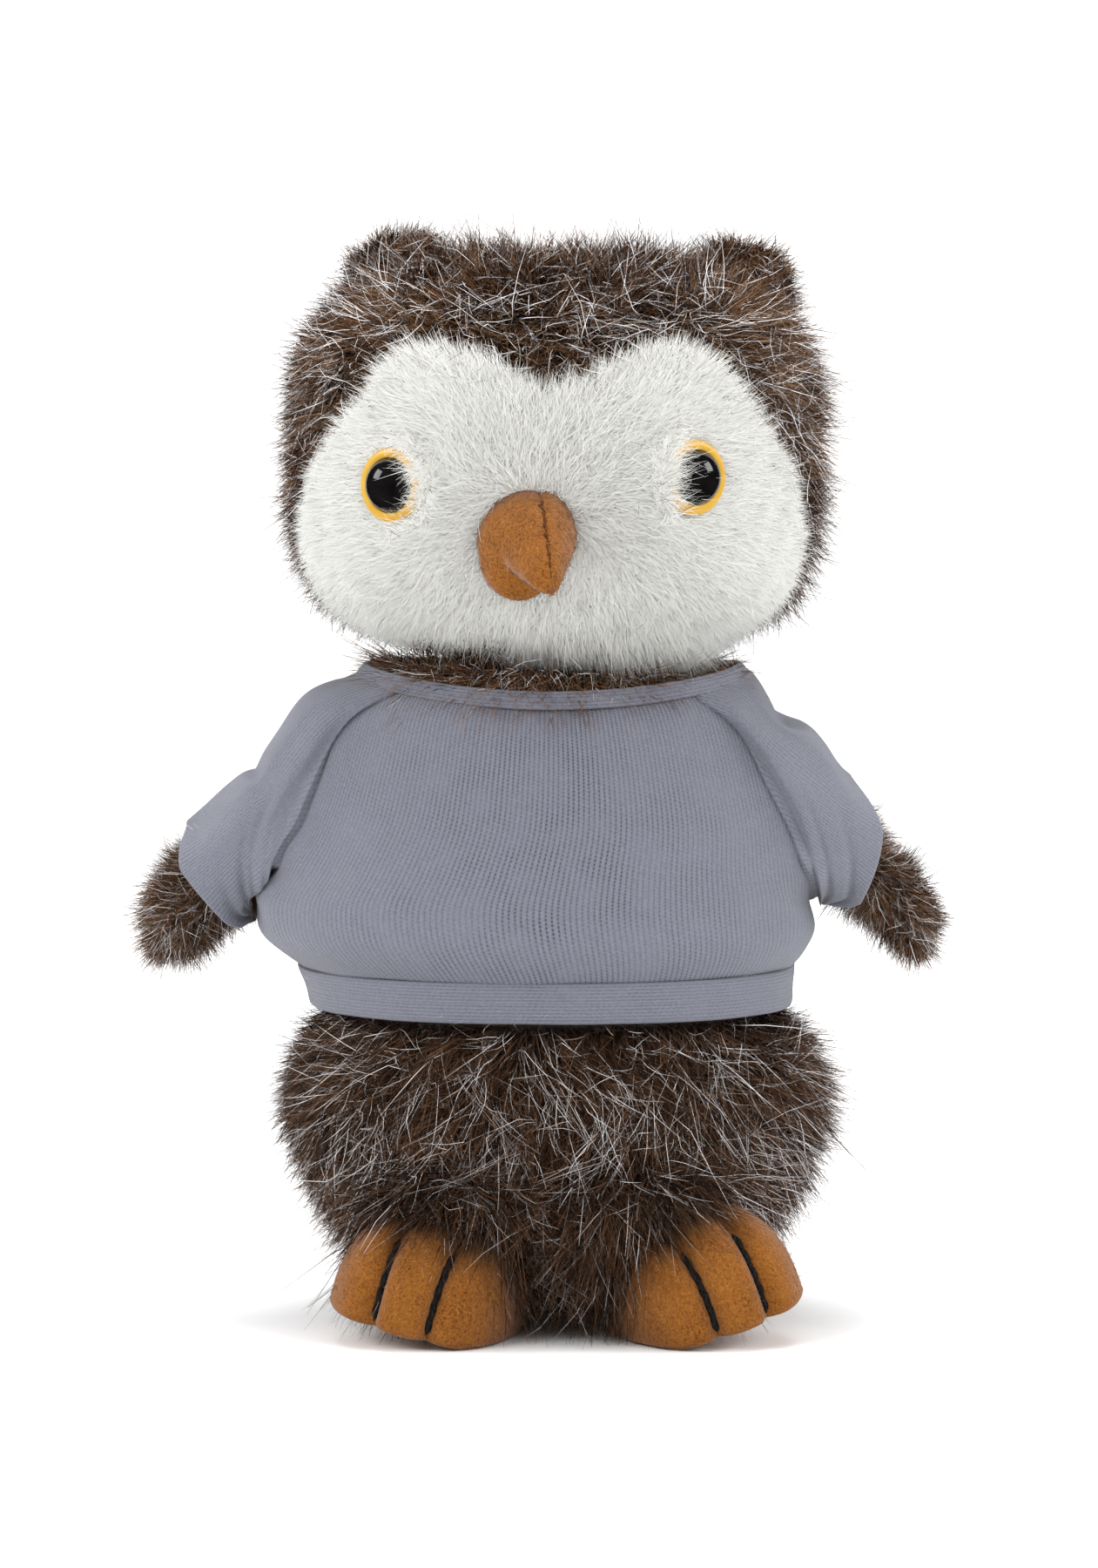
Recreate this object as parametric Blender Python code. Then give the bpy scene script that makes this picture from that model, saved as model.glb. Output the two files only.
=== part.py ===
"""Plush owl in a knitted shirt, in metres, with +Z up. The owl faces -Y, and left and right are its own.

The origin is the centre of the base panel, on the floor. Each sewn, stuffed or moulded piece is one object.
The head turns on an empty at the neck seam, and each wing swings on an empty at the top of its shoulder seam.
"""

import math

import bmesh
import bpy
import numpy as np
from mathutils import Matrix, Vector

# Clearance between two pieces that touch, clearance of a lining, and how far a cutter runs past what it cuts
GAP = 0.0003
LINING_GAP = 0.0012
OVERRUN = 0.004

# Body: height of the neck seam, widest fur, and the panel that it stands on
NECK_HEIGHT = 0.1025
BODY_WIDTH = 0.089
BODY_DEPTH = 0.077
BODY_SQUARENESS = 2.35
BODY_FUR = 0.006
BASE_PANEL = 0.0015
PELLET_BAG_HEIGHT = 0.014
# Height up the body, then half-width, half-depth, set back and set to the owl's left, as shares of the sizes above
BODY_SHARES = (
    (0.0, 0.44, 0.42, 0.24, 0.0),
    (0.03, 0.56, 0.57, 0.19, 0.0),
    (0.075, 0.69, 0.72, 0.11, 0.0),
    (0.145, 0.815, 0.90, 0.03, 0.0),
    (0.19, 0.89, 0.96, 0.0, 0.0),
    (0.25, 0.955, 0.99, 0.0, 0.0),
    (0.33, 1.0, 1.0, 0.0, 0.0),
    (0.41, 0.945, 0.965, 0.0, 0.0),
    (0.478, 0.82, 0.925, 0.0, 0.0),
    (0.54, 0.845, 0.93, 0.0, -0.02),
    (0.60, 0.93, 0.95, 0.0, -0.06),
    (0.65, 0.945, 0.95, 0.0, -0.07),
    (0.70, 0.89, 0.93, 0.0, -0.045),
    (0.766, 0.835, 0.88, 0.0, -0.01),
    (0.842, 0.78, 0.80, 0.0, 0.0),
    (0.919, 0.705, 0.72, 0.0, 0.0),
    (0.967, 0.64, 0.67, 0.0, 0.0),
    (1.0, 0.60, 0.64, 0.0, 0.0),
)

# Shirt: cloth, and the heights of its hem and neckline
CLOTH = 0.001
BAND_CLOTH = 0.0015
HEM_HEIGHT = 0.049
HEM_BAND = 0.0063
NECKLINE_HEIGHT = 0.0968
NECKBAND = 0.0028

# Head: whole size with its fur, how far it is flattened where it sits, and its skin
HEAD_WIDTH = 0.087
HEAD_HEIGHT = 0.068
HEAD_FRONT = 0.040
HEAD_BACK = 0.035
HEAD_SQUASH = 0.0017
HEAD_SKIN = 0.006
HEAD_SQUARENESS = 3.2
HEAD_PLUMPNESS = 2.15
# Edge of the white face: degrees up from the owl's side, and share of the way from the middle to the head's outline
FACE_EDGE_SHARES = (
    (-90, 0.955),
    (-75, 0.945),
    (-60, 0.93),
    (-45, 0.95),
    (-32, 0.945),
    (-14, 0.91),
    (-3, 0.862),
    (7, 0.788),
    (18, 0.70),
    (33, 0.65),
    (45, 0.62),
    (55, 0.545),
    (64, 0.43),
    (76, 0.33),
    (90, 0.27),
)

# Ears: small padded arches on the top corners
EAR_WIDTH = 0.017
EAR_THICKNESS = 0.009
EAR_HEIGHT = 0.018
LEFT_EAR_INSET = 0.0140
RIGHT_EAR_INSET = 0.0195
LEFT_EAR_TOP = 0.0675
RIGHT_EAR_TOP = 0.0688
EAR_SPREADS = {"left": HEAD_WIDTH / 2 - LEFT_EAR_INSET, "right": HEAD_WIDTH / 2 - RIGHT_EAR_INSET}
EAR_TOPS = {"left": LEFT_EAR_TOP, "right": RIGHT_EAR_TOP}
EAR_LEAN = math.radians(10)
EAR_SQUARENESS = 2.4

# Eyes: safety eyes with a black dome in a yellow ring, on a shank held by a washer behind the face
EYE_DIAMETER = 0.012
LEFT_EYE_INSET = 0.0217
RIGHT_EYE_INSET = 0.0189
LEFT_EYE_HEIGHT = 0.0303
RIGHT_EYE_HEIGHT = 0.0291
EYE_SPREADS = {"left": HEAD_WIDTH / 2 - LEFT_EYE_INSET, "right": HEAD_WIDTH / 2 - RIGHT_EYE_INSET}
EYE_HEIGHTS = {"left": LEFT_EYE_HEIGHT, "right": RIGHT_EYE_HEIGHT}
EYE_TURN = math.radians(36)
EYE_SEAT = 0.0015
RING_RISE = 0.001
DOME_DIAMETER = 0.0088
DOME_RISE = 0.0026
DOME_RECESS = 0.0006
SHANK_DIAMETER = 0.0032
WASHER_DIAMETER = 0.010
WASHER_THICKNESS = 0.001
WASHER_DEPTH = 0.0073

# Beak: two fleece panels over stuffing, seamed down the middle, with the tip turned down
BEAK_WIDTH = 0.0146
BEAK_HEIGHT = 0.0148
BEAK_REACH = 0.0185
BEAK_DROOP = 0.0083
BEAK_SET = 0.0045
BEAK_OFFSET = 0.0033
BEAK_MIDDLE = 0.0215
BEAK_FLEECE = 0.0012
# Way from root to tip, and the section there, as shares of the reach and of the root's size
BEAK_SHARES = ((0.0, 1.0), (0.25, 0.99), (0.5, 0.86), (0.75, 0.62), (0.92, 0.34), (1.0, 0.0))

# Shoulder hinges, set in from the body's widest and below the neck seam, and the wings that hang from them
SHOULDER_INSET = 0.0105
SHOULDER_DROP = 0.0055
SHOULDER_SPREAD = BODY_WIDTH - 2 * SHOULDER_INSET
SHOULDER_HEIGHT = NECK_HEIGHT - SHOULDER_DROP
SHOULDER_LEAN = math.radians(15)
LEFT_WING_REACH = 0.019
RIGHT_WING_REACH = 0.023
WING_REACHES = {"left": LEFT_WING_REACH, "right": RIGHT_WING_REACH}
WING_DROP = 0.0415
WING_DEPTH = 0.022
ARMHOLE_CLEARANCE = 0.0006
ROOT_DEPTH = 0.003
SLEEVE_END_SHARES = {"left": 0.48, "right": 0.56}
# Way along the wing, then its upper edge and its lower edge, each as a share of the reach out from the plane
# of the shoulder and a share of the drop below the hinge, and last the depth there as a share
WING_SHARES = (
    (0.0, 0.0, 0.075, 0.0, 0.445, 1.0),
    (0.2, 0.275, 0.215, 0.04, 0.565, 0.99),
    (0.38, 0.525, 0.35, 0.09, 0.69, 0.94),
    (0.56, 0.705, 0.525, 0.16, 0.79, 0.82),
    (0.78, 0.97, 0.675, 0.36, 0.915, 0.66),
    (0.92, 0.93, 0.83, 0.50, 0.98, 0.46),
    (1.0, 0.72, 0.97, 0.72, 0.97, 0.0),
)

# Feet: three toes drawn in by two stitches of thread
FOOT_WIDTH = 0.0292
FOOT_LENGTH = 0.040
FOOT_HEIGHT = 0.018
FOOT_FRONT = 0.0495
FOOT_FLEECE = 0.0012
FOOT_SQUARENESS = 2.5
FOOT_CUT = 0.0005
SOLE = 0.001
TOE_GROOVE = 0.0018
TOE_GROOVE_WIDTH = 0.0042
THREAD = 0.0011
STITCH_START = math.radians(46)
STITCH_END = math.radians(86)
LEFT_FOOT_OUT = 0.0236
RIGHT_FOOT_OUT = 0.0197
FOOT_SPREADS = {"left": LEFT_FOOT_OUT, "right": RIGHT_FOOT_OUT}
FOOT_TURNS = {"left": math.radians(20), "right": math.radians(-13)}
FOOT_ROLLS = {"left": math.radians(-14), "right": math.radians(10)}

# Faces: levels up the body below and under the shirt, and columns round the body and head, a limb and a turned piece
LOWER_LEVELS = 7
UPPER_LEVELS = 6
WING_SECTIONS = 11
ROUND_COLUMNS = 24
LIMB_COLUMNS = 16
TURNED_COLUMNS = 16
TOE_COLUMNS = 20
TOE_SPAN = math.radians(120)
HEEL_COLUMNS = 11

SIDES = {"left": 1, "right": -1}


def clear_scene():
    for old in list(bpy.data.objects):
        bpy.data.objects.remove(old)


def material(name, colour, roughness):
    made = bpy.data.materials.new(name)
    made.use_nodes = True
    shader = made.node_tree.nodes["Principled BSDF"]
    shader.inputs["Base Color"].default_value = (*colour, 1)
    shader.inputs["Roughness"].default_value = roughness
    shader.inputs["Metallic"].default_value = 0
    made.diffuse_color = (*colour, 1)
    return made


def empty(name, place):
    made = bpy.data.objects.new(name, None)
    made.location = place
    made.empty_display_size = EYE_DIAMETER
    bpy.context.scene.collection.objects.link(made)
    return made


def mesh_object(name, points, faces, finish, parent=None, matrix=None):
    """One object from points and faces, with doubled points merged and its faces turned outwards."""
    work = bmesh.new()
    corners = [work.verts.new(point) for point in points]
    for face in faces:
        work.faces.new([corners[i] for i in face])
    bmesh.ops.remove_doubles(work, verts=work.verts, dist=GAP / 1000)
    bmesh.ops.recalc_face_normals(work, faces=work.faces)
    mesh = bpy.data.meshes.new(name)
    work.to_mesh(mesh)
    work.free()
    if finish:
        mesh.materials.append(finish)
    mesh.shade_smooth()
    mesh.set_sharp_from_angle(angle=math.radians(40))
    made = bpy.data.objects.new(name, mesh)
    made.parent = parent
    if matrix is not None:
        made.matrix_local = matrix
    bpy.context.scene.collection.objects.link(made)
    return made


def grid_faces(rows, columns, start, around):
    """Four-sided faces between neighbouring rows and columns of points numbered from start."""
    return [
        (
            start + row * columns + column,
            start + row * columns + (column + 1) % columns,
            start + (row + 1) * columns + (column + 1) % columns,
            start + (row + 1) * columns + column,
        )
        for row in range(rows - 1)
        for column in range(columns if around else columns - 1)
    ]


def stuffed(name, grid, finish, parent=None, matrix=None):
    """A closed form from rings of points. An end ring that isn't one point is closed flat."""
    rows, columns = grid.shape[:2]
    faces = grid_faces(rows, columns, 0, True)
    for row in (0, rows - 1):
        if np.ptp(grid[row], axis=0).max() > GAP:
            faces.append([row * columns + column for column in range(columns)])
    return mesh_object(name, grid.reshape(-1, 3), faces, finish, parent, matrix)


def skin(name, outside, inside, finish, around=True, open_rows=(True, True), parent=None, matrix=None):
    """A sheet with thickness between two grids of points, closed by a rim along each open edge."""
    rows, columns = outside.shape[:2]
    count = rows * columns
    faces = grid_faces(rows, columns, 0, around) + grid_faces(rows, columns, count, around)
    for row, is_open in zip((0, rows - 1), open_rows):
        for column in range(columns if around else columns - 1) if is_open else ():
            here = row * columns + column
            beside = row * columns + (column + 1) % columns
            faces.append((here, beside, count + beside, count + here))
    for column in () if around else (0, columns - 1):
        for row in range(rows - 1):
            here = row * columns + column
            above = here + columns
            faces.append((here, above, count + above, count + here))
    points = np.concatenate([outside.reshape(-1, 3), inside.reshape(-1, 3)])
    return mesh_object(name, points, faces, finish, parent, matrix)


def turned(name, profile, finish, parent=None, matrix=None):
    """A turned piece from (radius, height) points, listed from the axis round to the axis, or as a closed ring."""
    angles = np.arange(TURNED_COLUMNS) * 2 * math.pi / TURNED_COLUMNS
    radii, heights = np.array(profile).T
    grid = np.stack(
        [
            radii[:, None] * np.cos(angles),
            radii[:, None] * np.sin(angles),
            np.broadcast_to(heights[:, None], (len(radii), TURNED_COLUMNS)),
        ],
        axis=-1,
    )
    return stuffed(name, grid, finish, parent, matrix)


def as_cutter(piece):
    piece.hide_render = True
    piece.display_type = "WIRE"
    return piece


def cut(piece, *cutters):
    for cutter in cutters:
        modifier = piece.modifiers.new("Cut by " + cutter.name, "BOOLEAN")
        modifier.operation = "DIFFERENCE"
        modifier.object = cutter


def smooth(table, where):
    """Rows of a table read at any place: a cubic runs between rows, with the slope that its neighbours give."""
    table = np.asarray(table, float)
    at, values = table[:, 0], table[:, 1:]
    slopes = np.gradient(values, at, axis=0)
    where = np.clip(where, at[0], at[-1])
    after = np.clip(np.searchsorted(at, where, side="right"), 1, len(at) - 1)
    before = after - 1
    span = (at[after] - at[before])[:, None]
    way = (where - at[before])[:, None] / span
    return (
        (1 + 2 * way) * (1 - way) ** 2 * values[before]
        + way * (1 - way) ** 2 * span * slopes[before]
        + way**2 * (3 - 2 * way) * values[after]
        + way**2 * (way - 1) * span * slopes[after]
    )


def rounded(angles, squareness):
    """Outline of half-size 1 at each angle: a squareness of 2 is a circle, and more is squarer."""
    across, up = np.cos(angles), np.sin(angles)
    reach = (np.abs(across) ** squareness + np.abs(up) ** squareness) ** (-1 / squareness)
    return across * reach, up * reach


def full_turn(columns):
    return np.arange(columns) * 2 * math.pi / columns


def body_rings(heights, angles, grow):
    """Level rings of the body's outside at these heights, grown outwards by a thickness."""
    wide, deep, back, aside = smooth(BODY_SHARES, heights / NECK_HEIGHT).T[..., None] / 2
    across, along = rounded(angles, BODY_SQUARENESS)
    x = (wide * BODY_WIDTH + grow) * across + aside * BODY_WIDTH
    y = (deep * BODY_DEPTH + grow) * along + back * BODY_DEPTH
    return np.stack([x, y, np.broadcast_to(heights[:, None], x.shape)], axis=-1)


def levels(low, high):
    """Heights from low to high, with every level between them that all the body's pieces share."""
    below_hem = np.linspace(0, HEM_HEIGHT, LOWER_LEVELS)
    under_shirt = np.linspace(HEM_HEIGHT + HEM_BAND, NECKLINE_HEIGHT, UPPER_LEVELS)
    shared = np.array([*below_hem, *under_shirt, NECKLINE_HEIGHT + NECKBAND, NECK_HEIGHT])
    near = CLOTH
    return np.array([low, *shared[(shared > low + near) & (shared < high - near)], high])


def make_body(fur, fill, bag_cloth):
    """Fur skin open at both ends, the stuffing in it, the bag of pellets below, and the panel that closes it."""
    angles = full_turn(ROUND_COLUMNS)
    heights = levels(BASE_PANEL + GAP, NECK_HEIGHT)
    skin("body_fur", body_rings(heights, angles, 0), body_rings(heights, angles, -BODY_FUR), fur)
    lining = -BODY_FUR - LINING_GAP
    bag_top = BASE_PANEL + GAP + PELLET_BAG_HEIGHT
    heights = levels(bag_top + GAP, NECK_HEIGHT)
    stuffed("body_stuffing", body_rings(heights, angles, lining), fill)
    heights = levels(BASE_PANEL + GAP, bag_top)
    stuffed("pellet_bag", body_rings(heights, angles, lining), bag_cloth)
    heights = np.array([0, BASE_PANEL])
    stuffed("base_panel", body_rings(heights, angles, 0), fur)


def body_clearance():
    """Room that the body takes from the feet: its own outside and a gap, run down through the floor."""
    heights = levels(0, HEM_HEIGHT)
    rings = body_rings(heights, full_turn(ROUND_COLUMNS), GAP)
    rings[0, :, 2] = -OVERRUN
    return as_cutter(stuffed("body_clearance", rings, None))


def shoulder_clearance(name, grow):
    """Room that the body takes from a wing or, grown by the shirt, from a sleeve."""
    heights = levels(HEM_HEIGHT, NECK_HEIGHT)
    return as_cutter(stuffed(name, body_rings(heights, full_turn(ROUND_COLUMNS), grow), None))


def make_shirt(jersey, armholes):
    """Front and back panels seamed at the sides, with armholes, a neckband and a hem band of doubled cloth."""
    panel_low = HEM_HEIGHT + HEM_BAND + GAP
    heights = levels(panel_low, NECKLINE_HEIGHT - GAP)
    seam = GAP / BODY_WIDTH
    for name, start in (("shirt_back", 0), ("shirt_front", math.pi)):
        angles = np.linspace(start + seam, start + math.pi - seam, ROUND_COLUMNS // 2 + 1)
        outside = body_rings(heights, angles, GAP + CLOTH)
        cut(skin(name, outside, body_rings(heights, angles, GAP), jersey, around=False), *armholes)
    for name, low, tall in (
        ("hem_band", HEM_HEIGHT, HEM_BAND),
        ("neckband", NECKLINE_HEIGHT, NECKBAND),
    ):
        heights = levels(low, low + tall)
        angles = full_turn(ROUND_COLUMNS)
        outside = body_rings(heights, angles, GAP + BAND_CLOTH)
        skin(name, outside, body_rings(heights, angles, GAP), jersey)


def head_middle():
    """Height of the head's middle above the neck seam."""
    return GAP + HEAD_HEIGHT / 2 - HEAD_SQUASH


def head_rings(turns, tilts, grow):
    """The head's outside: turns go round the face's axis, and tilts run from the face (0) to the back (pi)."""
    across, up = rounded(turns, HEAD_SQUARENESS)
    forward, out = rounded(tilts, HEAD_PLUMPNESS)
    depth = np.where(forward > 0, HEAD_FRONT, HEAD_BACK) + grow
    x = out * across * (HEAD_WIDTH / 2 + grow)
    y = -forward * depth
    z = out * up * (HEAD_HEIGHT / 2 + grow) + head_middle()
    return np.stack([x, np.broadcast_to(y, x.shape), np.maximum(z, GAP - grow)], axis=-1)


def face_tilts(turns):
    """Tilt of the white face's edge at each turn, the same on both sides."""
    folded = np.degrees(np.arctan2(np.sin(turns), np.abs(np.cos(turns))))
    out = smooth(FACE_EDGE_SHARES, folded)[:, 0]
    forward = (1 - out**HEAD_PLUMPNESS) ** (1 / HEAD_PLUMPNESS)
    return np.arctan2(out, forward)


def make_head_skins(fur, pile, fill, neck):
    """Fur panel round the back, pile panel over the face, and the stuffing. Their edges meet at the face's seam."""
    turns = full_turn(ROUND_COLUMNS)
    edge = face_tilts(turns)
    seam = GAP / HEAD_HEIGHT
    for name, start, end, rows, open_rows, finish in (
        ("face_panel", 0 * edge, edge - seam, 6, (False, True), pile),
        ("head_fur", edge + seam, 0 * edge + math.pi, 9, (True, False), fur),
    ):
        tilts = start + (end - start) * np.linspace(0, 1, rows)[:, None]
        outside = head_rings(turns, tilts, 0)
        inside = head_rings(turns, tilts, -HEAD_SKIN)
        skin(name, outside, inside, finish, open_rows=open_rows, parent=neck)
    tilts = np.linspace(0, math.pi, 11)[:, None]
    stuffed("head_stuffing", head_rings(turns, tilts, -HEAD_SKIN - LINING_GAP), fill, neck)


def head_clearance(neck):
    """Room that the head takes from the ears."""
    tilts = np.linspace(0, math.pi, 17)[:, None]
    return as_cutter(stuffed("head_clearance", head_rings(full_turn(ROUND_COLUMNS), tilts, GAP), None, neck))


def make_ears(fur, neck, clearance):
    """A padded arch of fur on each top corner, ended where it is sewn to the head."""
    across, up = rounded(full_turn(LIMB_COLUMNS), EAR_SQUARENESS)
    forward, out = rounded(np.linspace(0, math.pi, 9)[:, None], EAR_SQUARENESS)
    x, z = out * across * EAR_WIDTH / 2, out * up * EAR_HEIGHT / 2
    grid = np.stack([x, np.broadcast_to(-forward * EAR_THICKNESS / 2, x.shape), z], axis=-1)
    for side, sign in SIDES.items():
        place = Vector((sign * EAR_SPREADS[side], 0, EAR_TOPS[side] - EAR_HEIGHT / 2))
        matrix = Matrix.Translation(place) @ Matrix.Rotation(sign * EAR_LEAN, 4, "Y")
        cut(stuffed("ear_" + side, grid, fur, neck, matrix), clearance)


def eye_matrix(side, sign):
    """The eye's seat on the face: local +Z looks out of the head, turned to the side."""
    across = EYE_SPREADS[side] / (HEAD_WIDTH / 2)
    forward = HEAD_FRONT * (1 - across**HEAD_PLUMPNESS) ** (1 / HEAD_PLUMPNESS)
    place = Vector((sign * EYE_SPREADS[side], -forward, EYE_HEIGHTS[side]))
    face_front = Matrix.Rotation(math.radians(90), 4, "X")
    return Matrix.Translation(place) @ Matrix.Rotation(sign * EYE_TURN, 4, "Z") @ face_front


def dome_profile():
    """Half of the dome's section: flat below, a rounded cap above."""
    angles = np.linspace(0, math.pi / 2, 6)
    radius = DOME_DIAMETER / 2
    low = RING_RISE - DOME_RECESS + GAP
    return [(0, low)] + [(radius * math.cos(a), low + DOME_RISE * math.sin(a)) for a in angles]


def make_eyes(yellow, black, nylon, neck):
    """Ring and shank in one, the dome in its recess, and the washer on the shank. Returns the room they take."""
    ring, shank = EYE_DIAMETER / 2, SHANK_DIAMETER / 2
    recess = DOME_DIAMETER / 2 + GAP
    back, floor = -EYE_SEAT + GAP, RING_RISE - DOME_RECESS
    washer_back = -WASHER_DEPTH - WASHER_THICKNESS
    shank_end = washer_back - WASHER_THICKNESS
    ring_profile = (
        (0, shank_end),
        (shank, shank_end),
        (shank, back),
        (ring - RING_RISE / 2, back),
        (ring, back + RING_RISE / 2),
        (ring, 0),
        (ring - RING_RISE / 3, RING_RISE * 0.75),
        (ring - RING_RISE, RING_RISE),
        (recess, RING_RISE),
        (recess, floor),
        (0, floor),
    )
    washer_hole, washer = shank + GAP, WASHER_DIAMETER / 2
    room_profile = (
        (0, shank_end - GAP),
        (washer + GAP, shank_end - GAP),
        (washer + GAP, -WASHER_DEPTH + GAP),
        (washer_hole, -WASHER_DEPTH + GAP),
        (washer_hole, -EYE_SEAT),
        (ring + GAP, -EYE_SEAT),
        (ring + GAP, OVERRUN),
        (0, OVERRUN),
    )
    rooms = []
    for side, sign in SIDES.items():
        matrix = eye_matrix(side, sign)
        turned("eye_ring_" + side, ring_profile, yellow, neck, matrix)
        turned("eye_dome_" + side, dome_profile(), black, neck, matrix)
        angles = full_turn(TURNED_COLUMNS)
        rings = [
            np.stack([radius * np.cos(angles), radius * np.sin(angles), height + 0 * angles], axis=-1)
            for radius in (washer, washer_hole)
            for height in (-WASHER_DEPTH, washer_back)
        ]
        outside, inside = np.array(rings[:2]), np.array(rings[2:])
        skin("eye_washer_" + side, outside, inside, nylon, parent=neck, matrix=matrix)
        rooms.append(as_cutter(turned("eye_room_" + side, room_profile, None, neck, matrix)))
    return rooms


def beak_rings(angles, rows, grow):
    """Sections of the beak from its root, set into the face, to its tip, grown outwards by a thickness."""
    way = np.linspace(0, 1, rows)
    size = smooth(BEAK_SHARES, way)
    root = -HEAD_FRONT + BEAK_SET
    middle_x = -BEAK_OFFSET * (1 - way)
    middle_y = root - (BEAK_REACH + grow) * way
    middle_z = BEAK_MIDDLE - BEAK_DROOP * way**1.5
    x = middle_x[:, None] + size * (BEAK_WIDTH / 2 + grow) * np.cos(angles)
    z = middle_z[:, None] + size * (BEAK_HEIGHT / 2 + grow) * np.sin(angles)
    return np.stack([x, np.broadcast_to(middle_y[:, None], x.shape), z], axis=-1)


def make_beak(fleece, fill, neck):
    """Left and right panels with a seam down the middle, over a plug of stuffing. Returns the room they take."""
    for side, sign in SIDES.items():
        angles = np.linspace(-math.pi / 2, math.pi / 2, TURNED_COLUMNS // 2 + 1)
        if sign < 0:
            angles = angles + math.pi
        apart = np.array([sign * GAP / 2, 0, 0])
        outside = beak_rings(angles, 9, 0) + apart
        inside = beak_rings(angles, 9, -BEAK_FLEECE) + apart
        skin("beak_" + side, outside, inside, fleece, around=False, open_rows=(True, False), parent=neck)
    angles = full_turn(TURNED_COLUMNS)
    stuffed("beak_stuffing", beak_rings(angles, 9, -BEAK_FLEECE - GAP), fill, neck)
    room = beak_rings(angles, 9, GAP + GAP)
    room[0, :, 1] = -HEAD_FRONT + BEAK_SET + GAP
    return as_cutter(stuffed("beak_room", room, None, neck))


def wing_rings(way, side, grow):
    """Sections of a wing from the shoulder's plane to its tip, as if on the left, seen from the hinge."""
    top_out, top_drop, low_out, low_drop, deep = smooth(WING_SHARES, way).T
    edges = []
    for out, drop in ((top_out, top_drop), (low_out, low_drop)):
        fall = drop * WING_DROP
        edges.append(np.stack([out * WING_REACHES[side] + fall * math.tan(SHOULDER_LEAN), -fall], axis=-1))
    middle, half = (edges[0] + edges[1]) / 2, (edges[0] - edges[1]) / 2
    length = np.maximum(np.linalg.norm(half, axis=1, keepdims=True), GAP)
    reach = (half * (1 + grow / length))[:, None] * np.sin(full_turn(LIMB_COLUMNS))[:, None]
    section = middle[:, None] + reach
    y = (deep * WING_DEPTH / 2 + grow)[:, None] * np.cos(full_turn(LIMB_COLUMNS))
    return np.stack([section[..., 0], y, section[..., 1]], axis=-1)


def mirrored(grid, sign):
    return grid * np.array([sign, 1, 1])


def shoulder_step(distance):
    """A step out of the body, square to the plane where wing and body part."""
    return distance * np.array([math.cos(SHOULDER_LEAN), 0, math.sin(SHOULDER_LEAN)])


def wing_ways():
    """Places of the wing's sections, closer together towards the tip."""
    return 1 - np.linspace(1, 0, WING_SECTIONS) ** 1.3


def rooted(rings, side, depth):
    """Sections of a wing out from the shoulder, with the first also run on into the body by a depth."""
    grid = np.concatenate([rings[:1] - shoulder_step(depth), rings]) + shoulder_step(GAP)
    return mirrored(grid, SIDES[side])


def make_armholes(shoulders):
    """Cutters for the holes in the shirt that the wing roots pass through."""
    holes = []
    for side in SIDES:
        rings = wing_rings(wing_ways()[: WING_SECTIONS // 2], side, ARMHOLE_CLEARANCE)
        grid = rooted(rings, side, ROOT_DEPTH + OVERRUN)
        holes.append(as_cutter(stuffed("armhole_" + side, grid, None, shoulders[side])))
    return holes


def make_wings(fur, jersey, shoulders):
    """A fur wing whose root passes through the armhole to the body, and the sleeve from the shirt round its top."""
    body_room = shoulder_clearance("wing_clearance", GAP)
    shirt_room = shoulder_clearance("sleeve_clearance", GAP + CLOTH + GAP)
    for side in SIDES:
        rings = rooted(wing_rings(wing_ways(), side, 0), side, ROOT_DEPTH)
        wing = stuffed("wing_" + side, rings, fur, shoulders[side])
        way = np.linspace(0, SLEEVE_END_SHARES[side], 5)
        outside = rooted(wing_rings(way, side, GAP + GAP + CLOTH), side, ROOT_DEPTH)
        inside = rooted(wing_rings(way, side, GAP + GAP), side, ROOT_DEPTH)
        sleeve = skin("sleeve_" + side, outside, inside, jersey, parent=shoulders[side])
        cut(wing, body_room)
        cut(sleeve, shirt_room)


def toe_dip(x, y):
    """How far the surface is drawn in at the two stitch lines between the toes, towards the front of the foot."""
    front = np.clip(-y / (FOOT_LENGTH / 2), 0, 1)
    lines = sum(np.exp(-(((x - line) / (TOE_GROOVE_WIDTH / 2)) ** 2)) for line in stitch_lines())
    return TOE_GROOVE * lines * front**0.5


def stitch_lines():
    return (-FOOT_WIDTH / 6, FOOT_WIDTH / 6)


def foot_points(tilts, turns, grow):
    """The foot's domed outside: tilts run from its top (0) to its rim (half pi), and turns go round it."""
    up, out = rounded(tilts, FOOT_SQUARENESS)
    across, along = rounded(turns, FOOT_SQUARENESS)
    x = out * across * (FOOT_WIDTH / 2 + grow)
    y = out * along * (FOOT_LENGTH / 2 + grow)
    dip = toe_dip(x, y)
    length = np.sqrt(x**2 + y**2 + (up * FOOT_HEIGHT) ** 2)
    draw = 1 - dip / length
    z = SOLE + GAP + up * (FOOT_HEIGHT - SOLE + grow) * draw
    return np.stack([x * draw, y * draw, z], axis=-1)


def foot_columns():
    """Turns round the foot, close together over the toes so that the grooves keep their shape."""
    toes = np.linspace(-TOE_SPAN / 2, TOE_SPAN / 2, TOE_COLUMNS) - math.pi / 2
    rest = np.linspace(toes[-1], toes[0] + 2 * math.pi, HEEL_COLUMNS)
    return np.concatenate([toes, rest[1:-1]])


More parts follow.
